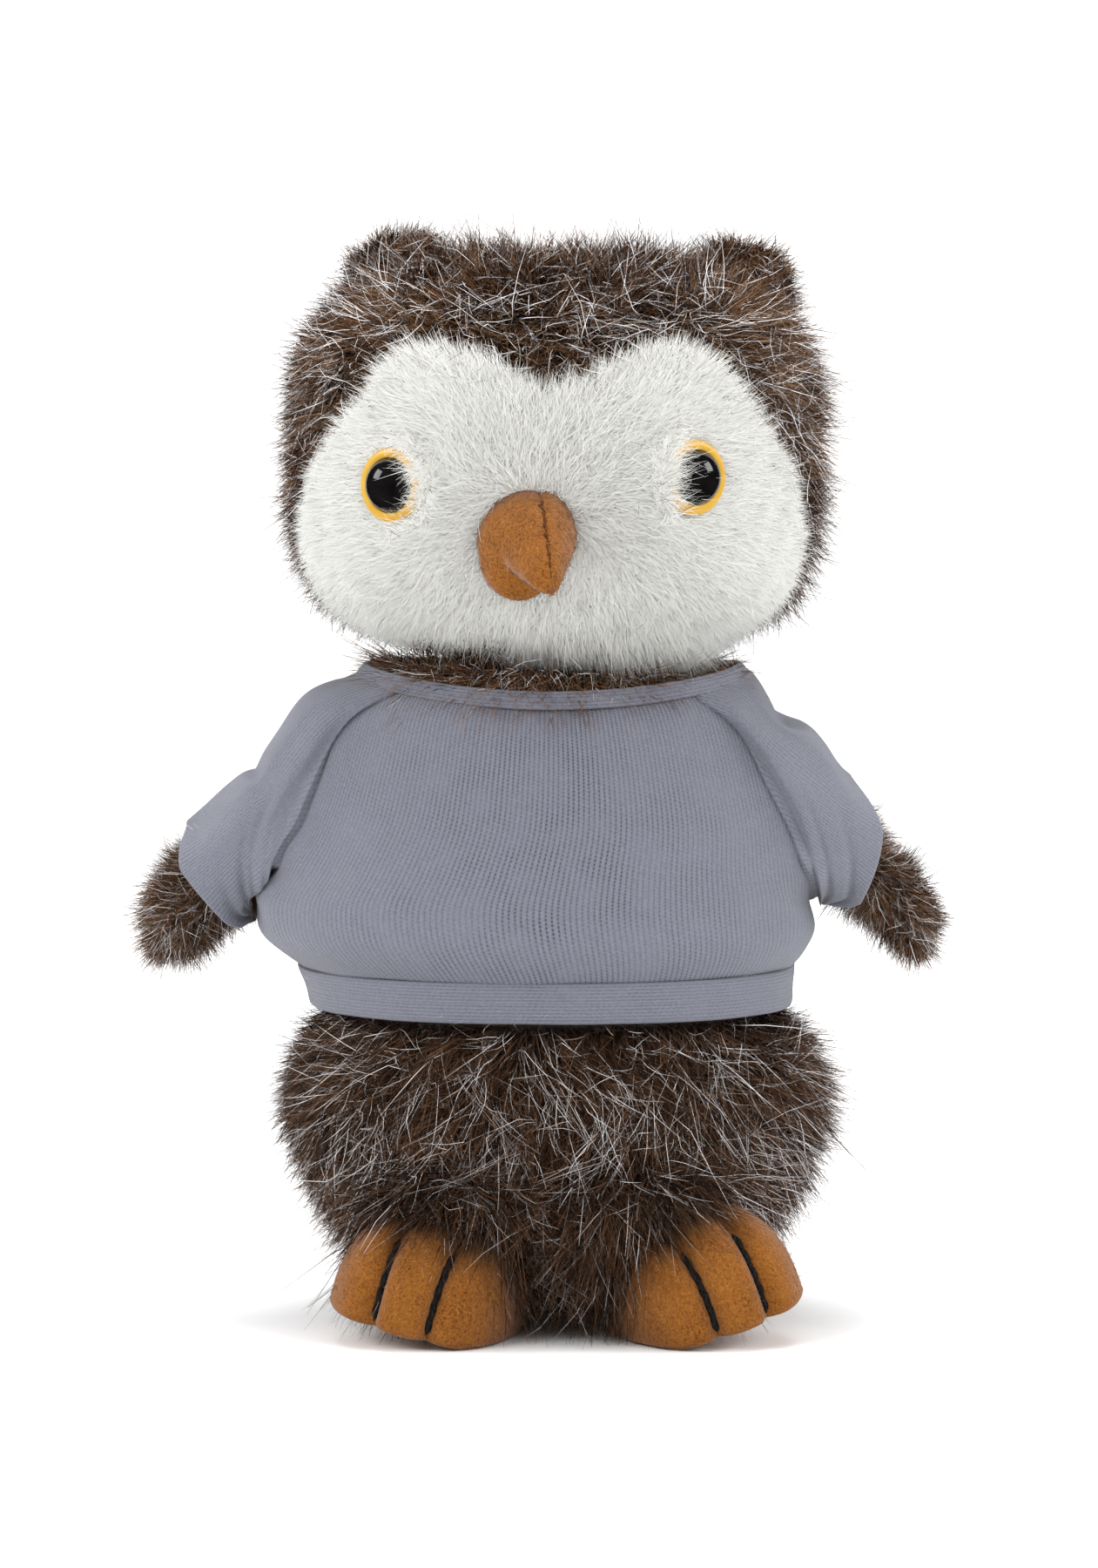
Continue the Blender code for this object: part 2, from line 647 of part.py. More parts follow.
def foot_matrix(side):
    """Foot frame: the middle of the foot on the floor, toes to -Y, turned out and rolled onto its inner edge."""
    sign = SIDES[side]
    turn = Matrix.Rotation(FOOT_TURNS[side], 4, "Z") @ Matrix.Rotation(FOOT_ROLLS[side], 4, "Y")
    inner = turn @ Vector((-sign * FOOT_WIDTH / 2 * 0.8, 0, 0))
    place = Vector((sign * FOOT_SPREADS[side], -FOOT_FRONT + FOOT_LENGTH / 2, -FOOT_CUT - inner.z))
    return Matrix.Translation(place) @ turn


def floor_cutter():
    """Everything below the floor, so that the soles rest flat."""
    reach = BODY_WIDTH
    square = [(x * reach, y * reach) for x, y in ((-1, -1), (1, -1), (1, 1), (-1, 1))]
    grid = np.array([[(x, y, z) for x, y in square] for z in (-reach, 0)])
    return as_cutter(stuffed("below_floor", grid, None))


def make_feet(fleece, thread_finish, fill, clearance, floor):
    """Fleece upper, sole and stuffing of each foot, ended at the body, with a thread in each groove."""
    for side, sign in SIDES.items():
        matrix = foot_matrix(side)
        turns = foot_columns()
        tilts = np.linspace(0, math.pi / 2, 7)[:, None]
        outside = foot_points(tilts, turns, 0)
        inside = foot_points(tilts, turns, -FOOT_FLEECE)
        upper = skin("foot_" + side, outside, inside, fleece, open_rows=(False, True), matrix=matrix)
        fill_grid = foot_points(tilts, turns, -FOOT_FLEECE - GAP)
        filling = stuffed("foot_stuffing_" + side, fill_grid, fill, None, matrix)
        rim = outside[-1] * np.array([1, 1, 0])
        sole_grid = np.array([rim * 0.96, rim + np.array([0, 0, SOLE])])
        sole = stuffed("sole_" + side, sole_grid, fleece, None, matrix)
        for piece in (upper, filling, sole):
            cut(piece, clearance, floor)
        make_stitches(side, sign, matrix, thread_finish, clearance)


def make_stitches(side, sign, matrix, finish, clearance):
    """Thread from the top of the foot down between the toes, lying in its groove."""
    for line in stitch_lines():
        name = "toe_stitch_" + side + ("_outer" if line * sign > 0 else "_inner")
        tilts = np.linspace(STITCH_START, STITCH_END, 8)
        up, out = rounded(tilts, FOOT_SQUARENESS)
        across = line / (out * FOOT_WIDTH / 2)
        along = (1 - np.abs(across) ** FOOT_SQUARENESS) ** (1 / FOOT_SQUARENESS)
        turns = np.arctan2(-along, across)
        lift = THREAD / 2 + GAP + GAP
        points = foot_points(tilts, turns, lift)
        curve = bpy.data.curves.new(name, "CURVE")
        curve.dimensions = "3D"
        curve.bevel_depth = THREAD / 2
        curve.bevel_resolution = 1
        curve.use_fill_caps = True
        spline = curve.splines.new("POLY")
        spline.points.add(len(points) - 1)
        for spot, point in zip(spline.points, points):
            spot.co = (*point, 1)
        curve.materials.append(finish)
        made = bpy.data.objects.new(name, curve)
        made.matrix_local = matrix
        bpy.context.scene.collection.objects.link(made)


def build():
    clear_scene()
    brown_fur = material("brown_fur", (0.072, 0.040, 0.025), 0.95)
    white_pile = material("white_pile", (0.80, 0.79, 0.75), 0.95)
    tan_fleece = material("tan_fleece", (0.42, 0.17, 0.045), 0.92)
    grey_jersey = material("grey_jersey", (0.26, 0.27, 0.36), 0.9)
    yellow_plastic = material("yellow_plastic", (0.72, 0.42, 0.04), 0.3)
    black_plastic = material("black_plastic", (0.006, 0.005, 0.005), 0.06)
    washer_nylon = material("washer_nylon", (0.75, 0.75, 0.72), 0.5)
    black_thread = material("black_thread", (0.012, 0.011, 0.012), 0.8)
    white_fill = material("white_fill", (0.85, 0.85, 0.85), 1.0)
    bag_cloth = material("bag_cloth", (0.7, 0.68, 0.62), 0.9)

    make_body(brown_fur, white_fill, bag_cloth)
    neck = empty("neck_seam", (0, 0, NECK_HEIGHT))
    shoulders = {
        side: empty("shoulder_" + side, (sign * SHOULDER_SPREAD / 2, 0, SHOULDER_HEIGHT))
        for side, sign in SIDES.items()
    }
    make_shirt(grey_jersey, make_armholes(shoulders))
    make_wings(brown_fur, grey_jersey, shoulders)
    make_feet(tan_fleece, black_thread, white_fill, body_clearance(), floor_cutter())
    make_head_skins(brown_fur, white_pile, white_fill, neck)
    make_ears(brown_fur, neck, head_clearance(neck))
    rooms = make_eyes(yellow_plastic, black_plastic, washer_nylon, neck)
    beak_room = make_beak(tan_fleece, white_fill, neck)
    cut(bpy.data.objects["face_panel"], beak_room, *rooms)
    cut(bpy.data.objects["head_stuffing"], *rooms)


build()
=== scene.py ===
from functools import partialmethod
from math import cos, pi, radians, sin, tan

import bmesh
import bpy
import numpy as np
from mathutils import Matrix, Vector


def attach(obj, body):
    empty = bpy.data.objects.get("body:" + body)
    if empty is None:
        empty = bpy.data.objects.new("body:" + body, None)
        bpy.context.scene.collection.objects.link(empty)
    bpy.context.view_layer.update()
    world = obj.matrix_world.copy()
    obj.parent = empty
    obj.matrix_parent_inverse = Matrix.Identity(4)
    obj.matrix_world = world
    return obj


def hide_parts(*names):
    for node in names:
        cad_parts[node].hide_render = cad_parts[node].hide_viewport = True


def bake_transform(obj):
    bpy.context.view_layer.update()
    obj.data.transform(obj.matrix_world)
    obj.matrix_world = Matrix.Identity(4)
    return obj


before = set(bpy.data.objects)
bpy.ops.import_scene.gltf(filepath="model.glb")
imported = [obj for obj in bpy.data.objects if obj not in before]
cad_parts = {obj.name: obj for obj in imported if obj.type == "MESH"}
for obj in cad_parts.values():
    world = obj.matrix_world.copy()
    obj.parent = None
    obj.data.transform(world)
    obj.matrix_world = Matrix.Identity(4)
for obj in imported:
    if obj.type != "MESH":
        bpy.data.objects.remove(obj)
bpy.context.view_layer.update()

# Studio. A pale paper sweep runs under and up behind the toy. Soft lamps stand in front, at the sides and
# above, one lights the sweep, and a white room does the rest. The camera has a long lens and looks a little
# down at the toy.

scene = bpy.context.scene
scene.view_settings.view_transform = "Standard"

room = bpy.data.worlds.new("white_room")
room.use_nodes = True
room.node_tree.nodes["Background"].inputs["Color"].default_value = (1, 1, 1, 1)
room.node_tree.nodes["Background"].inputs["Strength"].default_value = 0.7
scene.world = room
room.cycles_visibility.glossy = False


def lamp(name, place, aim, size, power, mirrored=False):
    """A square soft lamp at a place, turned to a point. Only a mirrored one shows in the glossy eyes."""
    light = bpy.data.lights.new(name, "AREA")
    light.size = size
    light.energy = power
    made = bpy.data.objects.new(name, light)
    made.visible_glossy = mirrored
    made.location = place
    made.rotation_euler = (Vector(aim) - Vector(place)).to_track_quat("-Z", "Y").to_euler()
    scene.collection.objects.link(made)


lit_spot = (0, 0, 0.09)
lamp("lamp_left", (-0.75, -0.85, 0.75), lit_spot, 0.55, 7.0)
lamp("lamp_right", (0.80, -0.85, 0.62), lit_spot, 0.45, 5.4)
lamp("lamp_top", (0, 0.1, 1.1), (0, 0, 0.1), 0.7, 4.0)
lamp("lamp_side_left", (-1.0, -0.1, 0.62), lit_spot, 0.48, 4.5, True)
lamp("lamp_side_right", (1.0, -0.1, 0.62), lit_spot, 0.48, 4.5, True)
lamp("lamp_wall", (0, 0.5, 1.7), (0, 1.8, 0.6), 1.2, 22.0)

sight_distance, sight_tilt, sight_aim = 1.2, radians(4), Vector((-0.00048, 0, 0.0834))
film_tall, photo_tall, pixel = 36, 1800, 0.0001375
lens = bpy.data.cameras.new("camera")
lens.sensor_fit = "VERTICAL"
lens.sensor_height = film_tall
lens.lens = film_tall * sight_distance / pixel / photo_tall
lens.clip_start = 0.05
eye = bpy.data.objects.new("camera", lens)
eye.location = sight_aim + sight_distance * Vector((0, -cos(sight_tilt), sin(sight_tilt)))
eye.rotation_euler = (sight_aim - eye.location).to_track_quat("-Z", "Y").to_euler()
scene.collection.objects.link(eye)
scene.camera = eye


class Value:
    """A shader value: arithmetic on it adds Math nodes to its finish."""

    def __init__(self, finish, socket):
        self.finish = finish
        self.socket = socket

    def math(self, operation, *others):
        return self.finish.node("ShaderNodeMath", {"operation": operation}, dict(enumerate((self, *others))))

    def __rsub__(self, other):
        return (self * -1) + other

    __add__ = __radd__ = partialmethod(math, "ADD")
    __mul__ = __rmul__ = partialmethod(math, "MULTIPLY")
    __sub__ = partialmethod(math, "SUBTRACT")
    __truediv__ = partialmethod(math, "DIVIDE")
    __pow__ = partialmethod(math, "POWER")


class Finish:
    """A procedural material for pieces of one slot of the record. node() adds any node, and on() sets or
    links a socket of the shader."""

    def __init__(self, name, slot, **shader):
        self.slot = slot
        self.material = bpy.data.materials.new(name)
        self.material.use_nodes = True
        self.tree = self.material.node_tree
        self.shader = self.tree.nodes["Principled BSDF"]
        for socket, value in shader.items():
            self.on(socket.replace("_", " ").title().replace("Ior", "IOR"), value)

    def join(self, value, socket):
        if isinstance(value, Value):
            self.tree.links.new(value.socket, socket)
        elif isinstance(value, tuple) and len(value) == 3 and socket.type == "RGBA":
            socket.default_value = (*value, 1)
        else:
            socket.default_value = value

    def on(self, socket, value):
        self.join(value, self.shader.inputs[socket])

    def node(self, kind, settings, sockets, output=0):
        made = self.tree.nodes.new(kind)
        for setting, value in settings.items():
            if setting == "stops":
                ramp = made.color_ramp
                while len(ramp.elements) < len(value):
                    ramp.elements.new(1)
                for stop, (place, colour) in zip(ramp.elements, value):
                    stop.position = place
                    stop.color = (*colour, 1) if isinstance(colour, tuple) else (colour, colour, colour, 1)
            else:
                setattr(made, setting, value)
        for socket, value in sockets.items():
            self.join(value, made.inputs[socket])
        return Value(self, made.outputs[output])

    def place(self):
        """Object coordinates, in metres."""
        return self.node("ShaderNodeTexCoord", {}, {}, "Object")

    def map(self, name):
        """The two coordinates of a UV map, as values."""
        both = self.node("ShaderNodeUVMap", {"uv_map": name}, {})
        parts = self.node("ShaderNodeSeparateXYZ", {}, {"Vector": both})
        return parts, Value(self, parts.socket.node.outputs[1])

    def noise(self, scale, detail=2.0):
        sockets = {"Vector": self.place(), "Scale": scale, "Detail": detail}
        return self.node("ShaderNodeTexNoise", {}, sockets)

    def ramp(self, value, *stops):
        return self.node("ShaderNodeValToRGB", {"stops": stops}, {"Fac": value})

    def mix(self, share, first, second, how="MIX"):
        sockets = {"Factor": share, 6: first, 7: second}
        return self.node("ShaderNodeMix", {"data_type": "RGBA", "blend_type": how}, sockets, 2)

    def bump(self, height, depth, strength=1.0):
        sockets = {"Strength": strength, "Distance": depth, "Height": height}
        self.on("Normal", self.node("ShaderNodeBump", {}, sockets))


def speckled(name, slot, grain, *stops, detail=2.0, bumps=None, **shader):
    """A finish whose colour follows a noise of scale grain, bumped by a noise of a scale and depth."""
    made = Finish(name, slot, **shader)
    made.on("Base Color", made.ramp(made.noise(grain, detail), *stops))
    if bumps:
        made.bump(made.noise(bumps[0], detail), bumps[1])
    return made


def spread(x, y, z):
    """Points from their coordinates, each spread to the shape of all."""
    return np.stack(np.broadcast_arrays(x, y, z), axis=-1)


def quads(name, points, corners, finish, coordinates=None, map_name="OFBake", normals=None):
    """A smooth mesh object from an array of points and one of four-cornered faces, with its finish's
    material, a UV and, where they are given, a shading normal for each point."""
    mesh = bpy.data.meshes.new(name)
    mesh.vertices.add(points.size // 3)
    mesh.vertices.foreach_set("co", points.astype(np.float32).ravel())
    mesh.loops.add(corners.size)
    mesh.loops.foreach_set("vertex_index", corners.astype(np.int32).ravel())
    mesh.polygons.add(len(corners))
    mesh.polygons.foreach_set("loop_start", np.arange(len(corners), dtype=np.int32) * 4)
    if coordinates is not None:
        layer = mesh.uv_layers.new(name=map_name)
        layer.uv.foreach_set("vector", coordinates.astype(np.float32).reshape(-1, 2)[corners.ravel()].ravel())
    mesh.materials.append(finish.material)
    mesh.update(calc_edges=True)
    mesh.shade_smooth()
    if normals is not None:
        mesh.normals_split_custom_set_from_vertices(normals.reshape(-1, 3))
    made = bpy.data.objects.new(name, mesh)
    scene.collection.objects.link(made)
    return made


def surface(name, grid, finish, coordinates=None):
    """A surface over a grid of points. Columns that meet and rows that are one point are welded."""
    rows, columns = grid.shape[:2]
    first = (np.arange(rows - 1)[:, None] * columns + np.arange(columns - 1)).ravel()
    corners = first[:, None] + np.array([0, 1, columns + 1, columns])
    made = quads(name, grid, corners, finish, coordinates, "Cloth")
    work = bmesh.new()
    work.from_mesh(made.data)
    bmesh.ops.remove_doubles(work, verts=work.verts, dist=1e-7)
    bmesh.ops.recalc_face_normals(work, faces=work.faces)
    work.to_mesh(made.data)
    work.free()
    made.data.shade_smooth()
    return made


def capped(grid, both=True):
    """A grid closed by a row at the middle of its last row and, for both ends, of its first."""
    start, end = (np.broadcast_to(row.mean(axis=0), row.shape)[None] for row in (grid[0], grid[-1]))
    return np.concatenate([start, grid, end] if both else [grid, end])


def stand(made, body, *nodes, fill=None):
    """Makes a piece ride on its body and stand for its CAD nodes. The fill, how full a padded piece is, is
    not used.
    """
    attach(made, body)
    if nodes:
        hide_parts(*nodes)
    return made


paper = speckled("pale_paper", None, 40.0, (0.3, (0.925, 0.925, 0.928)), (0.7, (0.94, 0.94, 0.938)),
                 roughness=0.9)
sweep_turn = np.linspace(0, pi / 2, 17)
sweep_along = np.array([-3.0, *(1.2 + 0.6 * np.sin(sweep_turn)), 1.8])[:, None]
sweep_up = np.array([0.0, *(0.6 - 0.6 * np.cos(sweep_turn)), 4.0])[:, None]
sweep = surface("paper_sweep", spread(np.linspace(-3, 3, 3), sweep_along, sweep_up), paper)
sweep.visible_glossy = False

# Body. A stuffed bag of long-pile fur cloth, brown below with silver guard hairs, widest below the shirt
# and gathered at the neck seam. A round of the same cloth closes it underneath. The pile is combed down and
# outwards.

neck_height = 0.1025
body_wide, body_deep, body_square = 0.089, 0.077, 2.35
body_shares = (
    (0.0, 0.44, 0.42, 0.24, 0.0), (0.03, 0.56, 0.57, 0.19, 0.0), (0.075, 0.69, 0.72, 0.11, 0.0),
    (0.145, 0.815, 0.90, 0.03, 0.0), (0.19, 0.89, 0.96, 0.0, 0.0), (0.25, 0.955, 0.99, 0.0, 0.0),
    (0.33, 1.0, 1.0, 0.0, 0.0), (0.41, 0.945, 0.965, 0.0, 0.0), (0.478, 0.82, 0.925, 0.0, 0.0),
    (0.54, 0.845, 0.93, 0.0, -0.02), (0.60, 0.93, 0.95, 0.0, -0.06), (0.65, 0.945, 0.95, 0.0, -0.07),
    (0.70, 0.89, 0.93, 0.0, -0.045), (0.766, 0.835, 0.88, 0.0, -0.01), (0.842, 0.78, 0.80, 0.0, 0.0),
    (0.919, 0.705, 0.72, 0.0, 0.0), (0.967, 0.64, 0.67, 0.0, 0.0), (1.0, 0.60, 0.64, 0.0, 0.0),
)


def smooth(table, where):
    """Rows of a table read at any place: a cubic between rows, with slopes from their neighbours."""
    table = np.asarray(table, float)
    at, values = table[:, 0], table[:, 1:]
    slopes = np.gradient(values, at, axis=0)
    spot = np.clip(where, at[0], at[-1])
    after = np.clip(np.searchsorted(at, spot, side="right"), 1, len(at) - 1)
    before = after - 1
    span = (at[after] - at[before])[..., None]
    way = (spot - at[before])[..., None] / span
    return ((1 + 2 * way) * (1 - way) ** 2 * values[before] + way * (1 - way) ** 2 * span * slopes[before]
            + way**2 * (3 - 2 * way) * values[after] + way**2 * (way - 1) * span * slopes[after])


def rise(value, start, span):
    """How far a value has come from a start over a span, from 0 to 1. A negative span goes down."""
    return np.clip((value - start) / span, 0, 1)


def eased(value, start, span):
    """The same, soft at both ends: three times its square less twice its cube."""
    way = rise(value, start, span)
    return way**2 * (3 - 2 * way)


def bell(value, middle, width):
    """A bell curve: 1 at its middle, and 1/e a width away."""
    return np.exp(-(((value - middle) / width) ** 2))


def rounded(angles, squareness):
    """An outline of half-size 1 at each angle: squareness 2 is a circle, and more is squarer."""
    across, up = np.cos(angles), np.sin(angles)
    reach = (np.abs(across) ** squareness + np.abs(up) ** squareness) ** (-1 / squareness)
    return across * reach, up * reach


def partner(share, squareness):
    """The other coordinate of such an outline, where one is a share of the half-size."""
    return (1 - share**squareness) ** (1 / squareness)


def body_sizes(heights):
    """The body's half-width, its half-depth, and how far its middle lies back and aside, at heights."""
    sizes = smooth(body_shares, heights / neck_height) / 2
    return np.moveaxis(sizes * (body_wide, body_deep, body_deep, body_wide), -1, 0)


def body_at(heights, angles, grow):
    """The body's outside at heights and angles round it, grown outwards: a squarish oval at each height."""
    wide, deep, back, aside = body_sizes(heights)
    across, along = rounded(angles, body_square)
    return spread((wide + grow) * across + aside, (deep + grow) * along + back, heights)


def unit(vectors):
    return vectors / np.maximum(np.linalg.norm(vectors, axis=-1, keepdims=True), 1e-12)


def ripple(points, size, seed):
    """Smooth unevenness from about -1 to 1 in space: a sum of sine waves in scattered directions."""
    dice = np.random.default_rng(seed)
    waves = dice.normal(0, 3.5 / size, (7, 3))
    return np.sin(points @ waves.T + dice.uniform(0, 7, 7)).sum(axis=-1) / 3


def ripples(points, size, seed):
    return np.stack([ripple(points, size, seed + step) for step in range(3)], axis=-1)


def scattered(grid, count, seed, weight=1):
    """Places spread evenly, or by weight, over a grid's faces, with each one's outward normal and row."""
    dice = np.random.default_rng(seed)
    corner, right, up = grid[:-1, :-1], grid[:-1, 1:], grid[1:, :-1]
    normals = np.cross(right - corner, up - corner)
    area = np.linalg.norm(normals, axis=-1) * weight
    at = np.unravel_index(dice.choice(area.size, count, p=area.ravel() / area.sum()), area.shape)
    along, aside = dice.random((2, count, 1))
    place = (
        corner[at] * ((1 - along) * (1 - aside)) + right[at] * ((1 - along) * aside)
        + up[at] * (along * (1 - aside)) + grid[1:, 1:][at] * (along * aside)
    )
    return place, unit(normals[at]), at[0] + along[:, 0]


def flat_to(direction, normal):
    """The part of a direction that lies along the surface."""
    return unit(direction - normal * (direction * normal).sum(axis=-1, keepdims=True))


def hairs(name, roots, normal, comb, finish, seed, length, width, lift, curl, levels=2, sag=0.0,
          tint=(0.0, 1.0), lock=0.5, lock_size=0.0024, wave=0.0, soft=0.6, spin=0.8):
    """Tapered ribbons: each point is the root plus length × (way × start + way² × bend + a wave). The start
    leans from the normal towards the comb by 1 - lift, the bend carries on along the comb, draws the tips
    into locks and sags, and both are scattered. Ribbons face outwards, and are shaded partly as the skin
    under them is. The map's first coordinate is the hair's tint, and the second runs from root to tip."""
    dice = np.random.default_rng(seed)
    count = len(roots)
    way = np.linspace(0, 1, levels)[:, None]
    start = unit(normal * lift + comb * (1 - lift) + dice.normal(0, curl * 0.6, (count, 3)))
    bend = comb * 0.25 + dice.normal(0, curl, (count, 3)) + lock * ripples(roots, lock_size, 7)
    bend[:, 2] -= sag
    reach = (length * dice.uniform(0.65, 1.15, count))[:, None, None]
    swing = unit(dice.normal(0, 1, (count, 3)))[:, None] * wave
    swing = swing * np.sin(way * dice.uniform(3, 8, (count, 1, 1)))
    line = roots[:, None] + reach * (way * 0.85 * start[:, None] + way**2 * 0.45 * bend[:, None] + swing)
    side = unit(np.cross(start, normal + dice.normal(0, spin, (count, 3))))
    facing = np.cross(side, start)
    turned = np.sign((facing * normal).sum(axis=-1, keepdims=True) + 1e-9)
    side, facing = (side * turned)[:, None], facing * turned
    shading = np.broadcast_to(unit(normal * soft + facing * (1 - soft))[:, None, None], (count, levels, 2, 3))
    half = width / 2 * (1 - 0.85 * way**2.5)
    points = np.stack([line - side * half, line + side * half], axis=2)
    points[..., 2] = np.maximum(points[..., 2], 0.0003)
    first = (np.arange(count)[:, None] * levels + np.arange(levels - 1)).ravel() * 2
    tints = dice.uniform(*tint, count)[:, None, None] * 0.98 + np.array([0, 0.01])
    coordinates = np.stack(np.broadcast_arrays(tints, way), axis=-1)
    return quads(name, points, first[:, None] + np.array([0, 1, 3, 2]), finish, coordinates, normals=shading)


def coat(name, body, grid, count, seeds, comb, finish, keep=None, trim=None, weight=1, **form):
    """Hairs scattered over a grid by weight, on a body. Whether they stay, how they lie, what share of
    their length they have, and any other measure that is a function are worked out from their places,
    normals and rows."""
    at = scattered(grid, count, seeds[0], weight)
    if keep:
        stays = keep(*at)
        at = [part[stays] for part in at]
    form = {measure: value(*at) if callable(value) else value for measure, value in form.items()}
    if trim:
        form["length"] = form["length"] * trim(*at)
    stand(hairs(name, *at[:2], comb(*at[:2]), finish, seeds[1], **form), body)


# The ground under the brown pile, on the body, head, ears, wings and base, is coloured near black. This is
# painted shade, so the gaps between the hairs read as the shade deep in the pile.
fur_ground_shade = speckled(
    "fur_ground_shade", "brown_fur", 900.0, (0.3, (0.010, 0.006, 0.004)), (0.75, (0.045, 0.026, 0.016)),
    bumps=(1600.0, 0.0004), roughness=0.95)


def haired(name, slot, tints, shade=None, **shader):
    """A finish for ribbons: a colour by the hair's tint, times a painted shade that changes from root to tip.
    """
    made = Finish(name, slot, **shader)
    tint, way = made.map("OFBake")
    colour = made.ramp(tint, *tints)
    made.on("Base Color", made.mix(1.0, colour, made.ramp(way, *shade), "MULTIPLY") if shade else colour)
    return made


# Along each hair the brown pile's colour is multiplied by a painted shade. It runs from about a sixth at the
# root to full at the tip, standing for the shade deep in the pile.
fur_pile = haired(
    "fur_pile", "brown_fur",
    ((0.0, (0.017, 0.008, 0.004)), (0.35, (0.066, 0.029, 0.012)), (0.75, (0.172, 0.080, 0.034)),
     (1.0, (0.31, 0.175, 0.086))),
    ((0.0, (0.16, 0.14, 0.13)), (0.6, (0.75, 0.73, 0.71)), (1.0, 1.0)),
    roughness=0.55, specular_ior_level=0.35)

guard_hair = Finish("guard_hair", "brown_fur", roughness=0.42, specular_ior_level=0.5)
guard_tint, guard_way = guard_hair.map("OFBake")
guard_light = guard_hair.ramp(guard_tint, (0.0, (0.10, 0.05, 0.03)), (0.3, (0.36, 0.31, 0.28)),
                              (0.6, (0.74, 0.71, 0.70)), (1.0, (0.93, 0.92, 0.93)))
guard_share = guard_hair.ramp(guard_way, (0.0, 0.0), (0.25, 0.10), (0.5, 1.0))
guard_hair.on("Base Color", guard_hair.mix(guard_share, (0.045, 0.024, 0.013), guard_light))

body_turns = np.linspace(0, 2 * pi, 121)
body_levels = np.linspace(0.0018, neck_height, 81)[:, None]
body_sunk = np.interp(body_levels, [0, 0.044, 0.050, 0.096, 0.099], [0.0050, 0.0050, 0.0016, 0.0016, 0.003])
body_grid = body_at(body_levels, body_turns, -body_sunk)
stand(surface("body_skin", capped(body_grid), fur_ground_shade), "torso", "body_fur", fill=0.85)

base_levels, base_grow = np.array([[0.0002, 0.0006, 0.0014], [-0.0008, 0, -0.0004]])[..., None]
base_round = body_at(base_levels, body_turns, base_grow)
base_middle = base_round[0].mean(axis=0)
base_flat = base_middle + (base_round[0] - base_middle) * np.array([0, 0.25, 0.5, 0.75])[:, None, None]
base_top = np.broadcast_to(base_middle + np.array([0, 0, 0.0012]), (1, 121, 3))
base_cloth = surface("base_cloth", np.concatenate([base_flat, base_round, base_top]), fur_ground_shade)
stand(base_cloth, "torso", "base_panel")


def body_comb(place, normal):
    """The way the body's pile lies: down, a little outwards from the middle, with soft eddies."""
    return flat_to(spread(place[:, 0] * 9, 0, -1) + 0.6 * ripples(place, 0.014, 5), normal)


def body_trim(place, normal, row):
    """The pile is short at the floor and the hem, and a bit shorter on the owl's right and behind."""
    x, y, z = place.T
    share = np.interp(z, [0, 0.006, 0.013, 0.042, 0.0485], [0.2, 0.35, 0.85, 1, 0.85])
    return share * (1 - 0.28 * rise(-x, 0.018, 0.02)) * (1 - 0.14 * rise(y, 0.010, 0.015))


# The body's pile and guard hairs take tints from the darker part of the fur's range, though the body is the
# same cloth as the head. This is partly painted shade, for the lower body, which lies in more shade than the
# head.
for name, count, seed, looks, form in (
    ("body_pile_low", 74000, 11, fur_pile, dict(
        length=0.0066, width=0.00021, lift=0.48, curl=0.40, tint=(0.0, 0.7), lock=0.9, soft=0.4)),
    ("body_pile_fine", 42000, 12, fur_pile, dict(
        length=0.0078, width=0.00018, lift=0.36, curl=0.50, tint=(0.1, 0.9), lock=1.1, lock_size=0.003,
        soft=0.4)),
    ("body_guard_hair", 18000, 13, guard_hair, dict(
        length=0.0092, width=0.00011, lift=0.26, curl=0.75, levels=6, tint=(0.25, 1.0), lock=1.4,
        lock_size=0.004, wave=0.13, soft=0.5)),
):
    coat(name, "torso", body_grid[:38], count, (seed, seed), body_comb, looks, trim=body_trim, sag=0.28,
         **form)

fringe_grid = body_grid[9:21, 60:121]
between_feet = -0.002
over_feet = bell(np.abs(fringe_grid[:-1, :-1, 0] - between_feet), 0.0145, 0.0075)
for name, count, seed, looks, form in (
    ("foot_fringe_pile", 17000, 15, fur_pile, dict(length=0.0150, width=0.00022, curl=0.42, tint=(0.0, 0.8))),
    ("foot_fringe_guard", 2300, 16, guard_hair, dict(
        length=0.0140, width=0.00012, curl=0.50, levels=6, wave=0.10, soft=0.4)),
):
    coat(
        name, "torso", fringe_grid, count, (seed, seed),
        lambda place, normal: unit(np.array([0, -1.0, -0.5]) + 0.35 * ripples(place, 0.010, 17)), looks,
        keep=lambda place, normal, row: np.abs(place[:, 0] - between_feet) < 0.0265,
        weight=over_feet, lift=0.42, sag=0.35, **form)

# The neck's pile takes tints from the light part of the fur's range. This is partly painted light,
# brightening fur that lies in the head's shade, and partly the fur's own silver.
for name, count, seed, looks, form in (
    ("neck_pile", 18000, 21, fur_pile, dict(length=0.0078, width=0.00020, curl=0.50, tint=(0.4, 1.0))),
    ("neck_guard_hair", 4400, 22, guard_hair, dict(
        length=0.0052, width=0.00013, curl=0.65, levels=5, wave=0.12, soft=0.4)),
):
    coat(
        name, "torso", body_grid[75:], count, (seed, seed), body_comb, looks,
        keep=lambda place, normal, row: place[:, 2] > 0.0990 + 0.0022 * (place[:, 0] / 0.027) ** 2,
        trim=lambda place, normal, row: 1 + 0.15 * rise(-place[:, 0], 0, 0.015),
        lift=0.75, sag=0.75, **form)

# Shirt body. Fine grey jersey, knitted in upright ribs, in a front and a back panel seamed at the sides. It
# blouses over a hem band of doubled cloth, and a narrow neckband of the same cloth finishes the neck.

hem_height, hem_tall = 0.049, 0.0063
neckline_height, neckband_tall = 0.0968, 0.0028
cloth_low, cloth_high = hem_height + hem_tall - 0.0004, neckline_height + 0.0005


